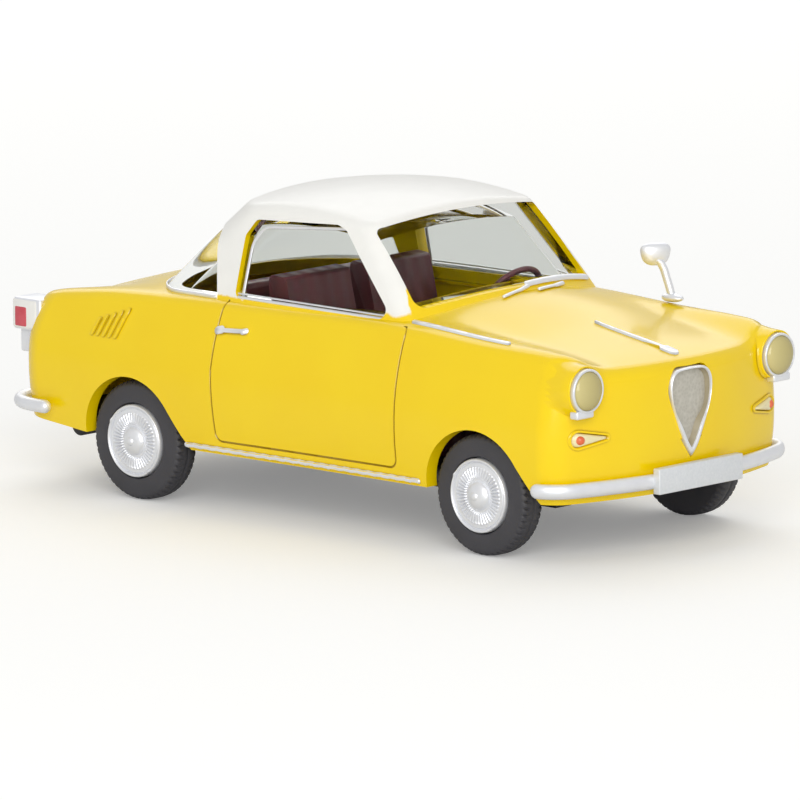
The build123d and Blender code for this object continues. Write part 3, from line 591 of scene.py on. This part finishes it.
piece("door_window_frames", on_both_sides(several([sash, ledge, ledge_above])))

# Strip round the foot of the rear window: a quartic curve that wraps round the corners, settled by
# turns on the cabin's skin and 0.06 mm over the top of the body.
bend = np.linspace(-1, 1, 61)
foot = np.stack([BACKLIGHT_X + 0.4 + 5.2 * bend**4, 6.2 * bend, np.full(61, BELT_Z)], 1)
foot, normal = on_pane(foot, 0.05)
for _ in range(3):
    foot[:, 2] = body_top(foot[:, 0], foot[:, 1]) + 0.06
    foot, normal = on_pane(foot, 0.05)
piece("rear_window_foot_strip", bar(foot, (0, 0, 1), normal, 0.11, 0.07, rings=8))


# --------------------
# Sill strips: a thin silver painted bead along the foot of each side, its edge a little uneven.
def reach(start, heading, offset):
    """Moves each start point along its heading, at most 14 mm, until it is the offset outside the
    body: halving the interval 24 times."""
    heading = np.asarray(heading, float)
    low, high = np.zeros(len(start)), np.full(len(start), 14.0)
    for _ in range(24):
        middle = (low + high) / 2
        past = skin(LOWER, start + heading * middle[:, None])[0] > offset
        low, high = np.where(past, low, middle), np.where(past, middle, high)
    return start + heading * high[:, None]


x = np.linspace(REAR_AXLE_X + 3.35, FRONT_AXLE_X - 3.2, 120)
sill_line = reach(np.stack([x, 0 * x, np.full(120, SILL_Z + 0.23)], 1), (0, -1, 0), 0.05)
sill_line[:, 2] += 0.015 * np.sin(9 * x) + 0.01 * np.sin(23 * x)
piece("sill_strips", on_both_sides(bar(sill_line, (0, 0, 1), (0, 1, 0), 0.11, 0.07, rings=8)))


# --------------------
# Wipers: three silver painted bars moulded on the foot of the windscreen: a long blade on the left
# side, its arm, and a short arm between them.
def on_screen(ends, lift):
    """Straight line between two points, laid on the cabin form or the body, whichever is further
    out, and lifted."""
    line = evenly(ends, 0.2)
    for _ in range(4):
        (low, low_normal), (high, high_normal) = skin(LOWER, line), skin(UPPER, line)
        normal = np.where((low < high)[:, None], low_normal, high_normal)
        line = line - (np.minimum(low, high) - lift)[:, None] * normal
    return line, normal


wipers = []
for ends, half_width in ((((7.20, 0.31, 10.42), (6.30, 5.30, 10.05)), 0.15),
                         (((7.73, -1.59, 10.14), (7.28, 0.5, 10.38)), 0.09),
                         (((7.70, 0.69, 10.19), (7.15, 2.9, 10.22)), 0.10)):
    line, normal = on_screen(ends, 0.08)
    side = unit(np.cross(normal, np.gradient(line, axis=0)))
    wipers.append(bar(line, side, normal, half_width, 0.07))
piece("wipers", several(wipers))

# --------------------
# Tyres: black soft-touch plastic, turned to a crowned tread with a seam round its middle, with
# fine notches round both shoulders.
TYRE_R, WHEEL_FACE, NOTCHES = 2.65, 7.05, 52


def carried_round(profile, count, shape=None):
    """Surface of revolution: (radius, depth) stations carried round in equal steps, each point
    changed by shape(radius, depth, angle) where one is given. Returns radius, depth and angle."""
    angle = np.linspace(0, 2 * np.pi, count, endpoint=False)
    radius, depth = (np.repeat(v[:, None], count, 1) for v in np.array(profile, float).T)
    angle = np.broadcast_to(angle, radius.shape)
    if shape:
        radius, depth = shape(radius, depth, angle)
    return radius, depth, angle


def on_wheel(turned, x, side):
    """Turned surface set on an axle: depth points outwards from the wheel's face."""
    radius, depth, angle = turned
    return net(np.stack([x + radius * np.cos(angle), side * (WHEEL_FACE + depth),
                         TYRE_R + radius * np.sin(angle)], -1))


def notched(radius, depth, angle):
    """Takes 0.10 mm off the radius where a cosine round the wheel peaks, times a bell curve over
    each shoulder, outside a radius of 2.3 mm."""
    notch = np.clip(3 * np.cos(NOTCHES * angle) - 1.6, 0, 1)
    shoulder = np.exp(-(((depth + 0.24) / 0.13) ** 2)) + np.exp(-(((depth + 1.11) / 0.13) ** 2))
    return radius - 0.10 * notch * shoulder * (radius > 2.3), depth


# Stations of half the section, (radius, depth): seat of the cap and side wall, round of the outer
# shoulder, tread with its seam, round of the inner shoulder, back.
arc = np.linspace(0, np.pi / 2, 8)
tyre_profile = ([(0, -0.36), (1.60, -0.36), (1.66, -0.34), (1.67, -0.06), (1.71, -0.01),
                 (1.80, 0.0), (2.0, -0.01), (2.2, -0.03), (2.34, -0.05)]
                + [(2.36 + 0.27 * np.sin(t), -0.32 + 0.27 * np.cos(t)) for t in arc]
                + [(2.645, -0.42), (2.65, -0.52), (2.65, -0.60), (2.625, -0.63), (2.625, -0.69),
                   (2.65, -0.72), (2.65, -0.84), (2.645, -0.93)]
                + [(2.36 + 0.27 * np.cos(t), -1.03 - 0.27 * np.sin(t)) for t in arc]
                + [(2.2, -1.32), (1.9, -1.34), (1.5, -1.35), (0.42, -1.35), (0.42, -0.46),
                   (0, -0.46)])
# Soft-touch moulded plastic: almost no shine, a dusting of dark grey 1.4 mm wide and a grit of
# 0.11 mm that breaks up its highlights.
rubber, tree = new_tree("matt_moulded_plastic_black")
place = add_node(tree, "TexCoord").outputs["Object"]
dust = add_node(tree, "TexNoise", {"Vector": place, "Scale": 1 / (1.43 * MM), "Detail": 5.0})
tint = add_node(tree, "Mix", {
    "Factor": dust.outputs[0], 6: srgb("#343337"), 7: srgb("#454449")}, data_type="RGBA")
grit = add_node(tree, "TexNoise", {"Vector": place, "Scale": 1 / (0.111 * MM), "Detail": 2.0})
rough = add_node(tree, "Bump", {
    "Height": grit.outputs[0], "Strength": 0.25, "Distance": 0.02 * MM})
shader = add_node(tree, "BsdfPrincipled", {
    "Base Color": tint.outputs[2], "Roughness": 0.55, "Normal": rough.outputs[0]})
add_node(tree, "OutputMaterial", {"Surface": shader.outputs[0]})
SIDES = (("left", 1), ("right", -1))
WHEELS = [(f"{end}_{name}", f"{end}_wheelset", x, side)
          for end, x in (("front", FRONT_AXLE_X), ("rear", REAR_AXLE_X)) for name, side in SIDES]
for which, axle, x, side in WHEELS:
    tyre = on_wheel(carried_round(tyre_profile, 8 * NOTCHES, notched), x, side)
    piece(f"notched_tyre_{which}", tyre, rubber, axle, f"tyre_{which}")

# --------------------
# Wheel caps: one moulding each, silver painted. A bead round the rim, a smooth flange, 44 flutes,
# a domed hub with a small boss, and two specks of flash left on the bead.
CAP_R, FLUTES = 1.62, 44


def cap_relief(radius, depth, angle):
    """Height over the face by radius: a half round bead, a groove, a flange, flutes as high as a
    cosine is large, and a dome with a boss on it, both half ellipses."""
    bead = 0.12 * np.sqrt(np.clip(1 - ((radius - 1.55) / 0.07) ** 2, 0, 1))
    flange = 0.05 * np.clip((1.46 - radius) / 0.05, 0, 1) * np.clip((radius - 1.18) / 0.06, 0, 1)
    window = np.clip((radius - 0.72) / 0.08, 0, 1) * np.clip((1.27 - radius) / 0.07, 0, 1)
    flutes = 0.10 * window * np.abs(np.cos(FLUTES / 2 * angle)) ** 0.8
    dome = 0.34 * np.sqrt(np.clip(1 - (radius / 0.64) ** 2, 0, 1))
    boss = 0.08 * np.sqrt(np.clip(1 - (radius / 0.19) ** 2, 0, 1))
    flash = sum(0.07 * np.exp(-(((angle - at) / 0.07) ** 2) - ((radius - 1.57) / 0.07) ** 2)
                for at in (2.6, 5.35))
    top = np.maximum(bead, flange) + flutes + dome + boss + flash
    return radius, np.where(depth < -0.01, depth, top)


steps = np.r_[np.linspace(0, 0.2, 7), np.linspace(0.23, 0.64, 14), np.linspace(0.66, 1.28, 22),
              np.linspace(1.30, CAP_R, 22)]
cap_profile = [(r, 0) for r in steps] + [(CAP_R, -0.1), (CAP_R, -0.34), (0, -0.34)]
for which, axle, x, side in WHEELS:
    cap = on_wheel(carried_round(cap_profile, 8 * FLUTES, cap_relief), x, side)
    piece(f"fluted_cap_{which}", cap, silver, axle, f"hubcap_{which}")


# --------------------
# Bumpers: round bars bent round the ends of the body, silver painted, plugged in from below. The
# number plate is a bare silver block on the front one.
def girdle(x, z, offset, end, last_x):
    """Line round one end of the body at a height and an offset from its skin, out to a place along
    the car, with the skin's sideways normal."""
    angle = np.linspace(-np.pi / 2, np.pi / 2, 181)
    heading = np.stack([end * np.cos(angle), np.sin(angle), 0 * angle], 1)
    line = reach(np.broadcast_to([x, 0, z], heading.shape), heading, offset)
    line = evenly(line[line[:, 0] * end > last_x * end], 0.2)
    return line, unit(skin(LOWER, line)[1] * (1, 1, 0))


def ball(rows, columns):
    """Unit sphere: sines and cosines of the angle from the pole and of the angle round it."""
    t, p = np.meshgrid(np.linspace(0, np.pi, rows),
                       np.linspace(0, 2 * np.pi, columns, endpoint=False), indexing="ij")
    return net(np.stack([np.sin(t) * np.cos(p), np.sin(t) * np.sin(p), np.cos(t)], -1))


def rounded_block(low, high, radius):
    """Box with rounded edges: points of a sphere, each pushed out to the corner of the smaller box
    that lies its way."""
    low, high = np.array(low), np.array(high)
    sphere, faces = ball(19, 36)
    corner = np.sign(np.round(sphere, 6)) * ((high - low) / 2 - radius)
    return (low + high) / 2 + sphere * radius + corner, faces


line, normal = girdle(FRONT_AXLE_X, 3.36, 0.36, 1, NOSE_X - 2.45)
piece("front_bumper_bar", bar(line, normal, (0, 0, 1), 0.22, 0.33, rings=16, tips=8),
      node="front_bumper")
line, normal = girdle(REAR_AXLE_X, 3.70, 0.50, -1, TAIL_X + 3.0)
piece("rear_bumper_bar", bar(line, normal, (0, 0, 1), 0.28, 0.30, rings=16, tips=8),
      node="rear_bumper")


def two_toned(name, lump, detail, first, second, roughness, metallic=0.0):
    """Plain paint or plastic whose colour drifts between two tones in lumps of a size in mm."""
    material, tree = new_tree(name)
    place = add_node(tree, "TexCoord").outputs["Object"]
    lumps = add_node(tree, "TexNoise", {
        "Vector": place, "Scale": 1 / (lump * MM), "Detail": detail})
    tint = add_node(tree, "Mix", {
        "Factor": lumps.outputs[0], 6: srgb(first), 7: srgb(second)}, data_type="RGBA")
    shader = add_node(tree, "BsdfPrincipled", {
        "Base Color": tint.outputs[2], "Roughness": roughness, "Metallic": metallic})
    add_node(tree, "OutputMaterial", {"Surface": shader.outputs[0]})
    return material


# Silver paint without a gloss coat: flatter and greyer than the bright trim, its flakes drawn as a
# speckle of 0.125 mm.
flat_silver = two_toned("matt_aluminium_paint", 0.125, 2.0, "#D6DADE", "#E9EBED", 0.55, 0.35)
plate_x = LENGTH / 2 - 0.01
plate = rounded_block((plate_x - 0.38, -2.67, 2.84), (plate_x, 2.67, 3.96), 0.05)
piece("number_plate", plate, flat_silver)


# --------------------
# Headlamps: a silver ring let into the end of each wing, with a chunky lug under it, round a domed
# lens moulded in smoky amber.
def on_lamp(turned, side):
    """Turned surface set on a headlamp's axis: depth points forwards from the ring's face."""
    radius, depth, angle = turned
    return net(np.stack([LAMP_X + depth, side * LAMP_Y + radius * np.cos(angle),
                         LAMP_Z + radius * np.sin(angle)], -1))


def block_on(side, low, high, radius):
    """Rounded block on one side of the car: its ends are given along, outboard and up."""
    low_y, high_y = sorted((side * low[1], side * high[1]))
    return rounded_block((low[0], low_y, low[2]), (high[0], high_y, high[2]), radius)


ring_profile = [(0.84, -0.55), (0.84, -0.04)]
ring_profile += [(0.90 - 0.06 * np.cos(t), 0.02 + 0.05 * np.sin(t))
                 for t in np.linspace(0, np.pi, 9)]
ring_profile += [(0.96, -0.04), (0.965, -0.8), (0.84, -0.8), (0.84, -0.55)]
lens_profile = [(0.84 * np.sin(t), 0.36 * np.cos(t) - 0.02) for t in np.linspace(0, np.pi / 2, 17)]
lens_profile += [(0.83, -0.1), (0.83, -0.5), (0, -0.5)]
# Acrylic tinted smoky amber: glossy. Painted shade: the colour turns browner towards its rim,
# where it is seen aslant.
amber, tree = new_tree("smoky_amber_acrylic")
facing = add_node(tree, "LayerWeight", {"Blend": 0.35})
tint = add_node(tree, "Mix", {
    "Factor": facing.outputs["Facing"], 6: srgb("#CDC084"), 7: srgb("#9A8C4C")}, data_type="RGBA")
shader = add_node(tree, "BsdfPrincipled", {
    "Base Color": tint.outputs[2], "Roughness": 0.16, "IOR": 1.49})
add_node(tree, "OutputMaterial", {"Surface": shader.outputs[0]})
for name, side in SIDES:
    ring = on_lamp(carried_round(ring_profile, 96), side)
    lug = block_on(side, (LAMP_X - 0.45, LAMP_Y - 0.38, LAMP_Z - 1.18),
                   (LAMP_X + 0.03, LAMP_Y + 0.70, LAMP_Z - 0.82), 0.10)
    lens = on_lamp(carried_round(lens_profile, 96), side)
    piece(f"lamp_ring_{name}", several([ring, lug]), node=f"headlamp_ring_{name}")
    piece(f"lamp_lens_{name}", lens, amber, "car", f"headlamp_lens_{name}")

# --------------------
# Grille: a shield with a bright bead round it, let into the front panel; its sunk mesh is painted
# a duller silver beige.
TOP, TIP, BROAD = 8.02, 4.15, 1.32


def shield(shrink=0.0):
    """Closed outline of the grille: one half is a cubic spline by chord length through nine
    stations, the other its mirror image."""
    top, tip, half = TOP - shrink, TIP + 3.4 * shrink, BROAD - shrink
    run = np.array([(0, top), (0.42 * half, top - 0.02), (0.76 * half, top - 0.12),
                    (0.95 * half, top - 0.40), (half, top - 0.80), (0.84 * half, top - 1.75),
                    (0.45 * half, tip + 0.90), (0.17 * half, tip + 0.26), (0, tip)])
    chord = length_along(run)
    at = np.linspace(0, chord[-1], 40)
    half_line = np.stack([faired(*zip(chord, run[:, k]))(at) for k in (0, 1)], 1)
    return np.r_[half_line, (half_line * (-1, 1))[-2:0:-1]]


def across_nose(outline, offset):
    """Points of a front view laid on the front panel, a given height outside its skin."""
    return reach(np.insert(outline, 0, 10.0, axis=1), (1, 0, 0), offset)


# Rings of the bead and of the throat inside it: how far in from the outline, and how high.
bead = [(0.0, -0.30), (0.0, 0.03), (0.015, 0.09), (0.05, 0.12), (0.085, 0.10), (0.10, 0.05),
        (0.10, -0.02)]
bead_rings = np.array([across_nose(shield(inwards), lift) for inwards, lift in bead])
piece("grille_bead", net(bead_rings), node="grille")
# Painted shade: the throat, the recess inside the bead, is coloured a dull brown, in patches 0.5
# mm wide.
throat_shade_paint = two_toned("painted_shade_throat_brown", 0.5, 3.0, "#8A7B5C", "#B0A78E", 0.4)
throat = [(0.095, 0.03), (0.12, -0.05), (0.17, -0.23)]
throat_rings = np.array([across_nose(shield(inwards), lift) for inwards, lift in throat])
piece("grille_throat", net(throat_rings), throat_shade_paint)
# Silver beige paint over a moulded mesh: dull, with pits 0.143 mm apart, like its threads; painted
# shade darkens the colour into each pit.
mesh_paint, tree = new_tree("fine_mesh_silver_beige")
place = add_node(tree, "TexCoord").outputs["Object"]
cells = add_node(tree, "TexVoronoi", {"Vector": place, "Scale": 1 / (0.143 * MM)})
tint = add_node(tree, "Mix", {
    "Factor": cells.outputs["Distance"], 6: srgb("#B8B4A8"), 7: srgb("#CDC9BE")}, data_type="RGBA")
pits = add_node(tree, "Bump", {
    "Height": cells.outputs["Distance"], "Strength": 0.4, "Distance": 0.03 * MM})
shader = add_node(tree, "BsdfPrincipled", {
    "Base Color": tint.outputs[2], "Metallic": 0.3, "Roughness": 0.5, "Normal": pits.outputs[0]})
add_node(tree, "OutputMaterial", {"Surface": shader.outputs[0]})
middle = np.array([0.0, 6.55])
mesh_rings = [across_nose(middle + (shield(0.17) - middle) * share, -0.22)
              for share in (1.0, 0.85, 0.7, 0.55, 0.4, 0.2, 0.001)]
piece("grille_mesh", net(np.array(mesh_rings)), mesh_paint)

# --------------------
# Flashers: clear teardrop lenses in a raised yellow surround, with the bulb behind each one's
# round outboard end picked out in orange red.
FLASHER_Z, BIG_END, SMALL_END, END_GAP = 5.50, 0.31, 0.06, 1.35


def teardrop():
    """Outline round two circles, a big one outboard and a small one inboard of it."""
    angle = np.linspace(0, 2 * np.pi, 48, endpoint=False)
    inboard = np.abs(angle - np.pi) < np.arccos((BIG_END - SMALL_END) / END_GAP)
    centre, radius = np.where(inboard, -END_GAP, 0.0), np.where(inboard, SMALL_END, BIG_END)
    return np.stack([centre + radius * np.cos(angle), radius * np.sin(angle)], 1)


# Clear polystyrene over the yellow body: glossy, and a pale straw colour.
lens_clear, tree = new_tree("clear_flasher_lens")
shader = add_node(tree, "BsdfPrincipled", {
    "Base Color": srgb("#F7EDBE"), "Roughness": 0.08, "IOR": 1.45, "Transmission Weight": 0.1})
add_node(tree, "OutputMaterial", {"Surface": shader.outputs[0]})
# A dab of orange red enamel: glossy, thinner in patches 0.4 mm wide.
bulb = two_toned("orange_red_dab", 0.4, 2.0, "#D9502E", "#F08A5C", 0.2)
middle = np.array([-0.45, 0.0])
angle = np.linspace(0, 2 * np.pi, 32, endpoint=False)
for name, side in SIDES:
    rings = []
    for k in (1.0, 0.97, 0.9, 0.78, 0.6, 0.4, 0.2, 0.001):
        front_view = (middle + (teardrop() - middle) * k) * (side, 1) + (side * LAMP_Y, FLASHER_Z)
        ring = across_nose(front_view, -0.1 + 0.28 * np.sqrt(1 - k**4))
        ring[:, 0] += 0.025 * np.cos(front_view[:, 0] * 26) * (1 - k)
        rings.append(ring)
    lens = net(np.array(rings))
    piece(f"flasher_lens_{name}", lens, lens_clear, "car", f"flasher_{name}")
    rings = []
    for k in (1.0, 0.92, 0.8, 0.6, 0.35, 0.001):
        front_view = np.stack([side * (LAMP_Y - 0.04) + 0.20 * k * np.cos(angle),
                               FLASHER_Z + 0.21 * k * np.sin(angle)], 1)
        rings.append(across_nose(front_view, 0.05 + 0.24 * np.sqrt(1 - k**2)))
    piece(f"flasher_bulb_{name}", net(np.array(rings)), bulb, "car")

# --------------------
# Wing mirror: a silver painted moulding on the left wing: an oval foot drawn out forwards, a round
# stalk that leans back, and a head like a rounded shield.
mx, my, mz = FRONT_AXLE_X - 0.65, CREST_Y - 0.1, BELT_Z
sphere, sphere_faces = ball(17, 48)
# Foot: a ball stretched to an oval, half as long again ahead of its middle.
foot = sphere * (0.46, 0.34, 0.20) * np.where(sphere[:, :1] > 0, (1.5, 1, 1), (1, 1, 1))
foot += (mx - 0.1, my, mz + 0.05)
stalk_line = evenly([(mx, my, mz), (mx - 0.25, my, mz + 0.65), (mx - 0.48, my - 0.02, mz + 1.25),
                     (mx - 0.60, my - 0.12, mz + 1.55), (mx - 0.72, my - 0.25, mz + 1.68)], 0.1)
stalk = bar(stalk_line, (0, 1, 0), (1, 0, 0.4), 0.17, 0.17, rings=14)
# Head: a ball squared by powers below one, bulged ahead by two parabolas, broader towards its
# top, and turned about the vertical.
head = np.sign(sphere) * np.abs(sphere) ** (0.75, 0.7, 0.7) * (0.22, 0.66, 0.50)
bulge = 0.10 * (1 - (head[:, 1] / 0.6) ** 2 - (head[:, 2] / 0.55) ** 2)
head[:, 0] += np.where(sphere[:, 0] > 0, bulge, 0)
head[:, 1] *= 1 + 0.18 * head[:, 2] / 0.55
turn = np.radians(-32)
cosine, sine = np.cos(turn), np.sin(turn)
head = head @ np.array([[cosine, sine, 0], [-sine, cosine, 0], [0, 0, 1]])
head += (mx - 0.86, my - 0.15, mz + 1.90)
piece("door_mirror", several([(foot, sphere_faces), stalk, (head, sphere_faces)]),
      node="wing_mirror")

# --------------------
# Tail lamps: a silver painted housing in the end of each wing, its frame round a milky window with
# a red painted pane at the back and one at the side.
# Translucent red lacquer over clear plastic: glossy, paler in patches 0.56 mm wide.
red = two_toned("translucent_red_paint", 0.556, 2.0, "#B83440", "#D8606A", 0.25)
# Clear polystyrene seen edge on: milky, with a haze 0.67 mm wide.
milky = two_toned("milky_lamp_plastic", 0.667, 2.0, "#E9E7E1", "#F6F5F1", 0.22)
back_x = TAIL_X - 0.155
for name, side in SIDES:
    housing = block_on(side, (back_x, 5.30, 6.78), (back_x + 1.70, 6.80, 8.22), 0.14)
    stem = block_on(side, (back_x + 0.15, 5.60, 5.75), (back_x + 1.50, 6.50, 6.95), 0.10)
    window = block_on(side, (back_x - 0.02, 5.37, 6.85), (back_x + 1.50, 6.825, 8.15), 0.10)
    side_pane = block_on(side, (back_x + 0.12, 6.3, 6.90), (back_x + 0.90, 6.855, 7.85), 0.12)
    back_pane = block_on(side, (back_x - 0.05, 5.50, 6.90), (back_x + 0.60, 6.68, 7.85), 0.12)
    panes = several([side_pane, back_pane])
    piece(f"tail_frame_{name}", several([housing, stem]), node=f"tail_lamp_{name}")
    piece(f"tail_window_{name}", window, milky)
    piece(f"tail_red_{name}", panes, red, "car", f"tail_lens_{name}")

# --------------------
# Inside and underneath: a maroon seat tub and steering wheel, a black floor plate and steel axles,
# all as moulded.
# Polystyrene moulded in maroon: a low sheen, mottled 1.7 mm wide. Pleats 0.83 mm apart run along
# the seats; a wave's spacing is pi / 10 over its scale.
maroon, tree = new_tree("moulded_polystyrene_maroon")
place = add_node(tree, "TexCoord").outputs["Object"]
mottle = add_node(tree, "TexNoise", {"Vector": place, "Scale": 1 / (1.67 * MM), "Detail": 4.0})
tint = add_node(tree, "Mix", {
    "Factor": mottle.outputs[0], 6: srgb("#4E2228"), 7: srgb("#6C3A42")}, data_type="RGBA")
pleats = add_node(tree, "TexWave", {
    "Vector": place, "Scale": np.pi / (10 * 0.8267 * MM)}, bands_direction="Y", wave_profile="SIN")
folds = add_node(tree, "Bump", {
    "Height": pleats.outputs[0], "Strength": 0.5, "Distance": 0.08 * MM})
shader = add_node(tree, "BsdfPrincipled", {
    "Base Color": tint.outputs[2], "Roughness": 0.42, "Normal": folds.outputs[0]})
add_node(tree, "OutputMaterial", {"Surface": shader.outputs[0]})

# Polystyrene moulded in black: a low sheen over an almost even black, mottled 1.1 mm wide.
black = two_toned("moulded_polystyrene_black", 1.11, 3.0, "#1B1A1B", "#2B292B", 0.5)

# Steel wire, drawn: bright metal, dulled in patches 0.33 mm wide.
steel, tree = new_tree("drawn_steel_wire")
place = add_node(tree, "TexCoord").outputs["Object"]
draw = add_node(tree, "TexNoise", {"Vector": place, "Scale": 1 / (0.333 * MM), "Detail": 2.0})
dull = add_node(tree, "MapRange", {"Value": draw.outputs[0], "To Min": 0.25, "To Max": 0.45})
shader = add_node(tree, "BsdfPrincipled", {
    "Base Color": srgb("#A9ABAE"), "Metallic": 1.0, "Roughness": dull.outputs[0]})
add_node(tree, "OutputMaterial", {"Surface": shader.outputs[0]})

for node, name, look, body, slot in (
        ("interior", "seat_tub", maroon, "car", "maroon_interior"),
        ("steering_wheel", "driving_wheel", maroon, "car", "dark_wheel"),
        ("chassis", "floor_plate", black, "car", "black_chassis"),
        ("front_axle", "front_axle_pin", steel, "front_wheelset", "steel_axle"),
        ("rear_axle", "rear_axle_pin", steel, "rear_wheelset", "steel_axle")):
    merged_copy(node, name, (look,), body, slot)
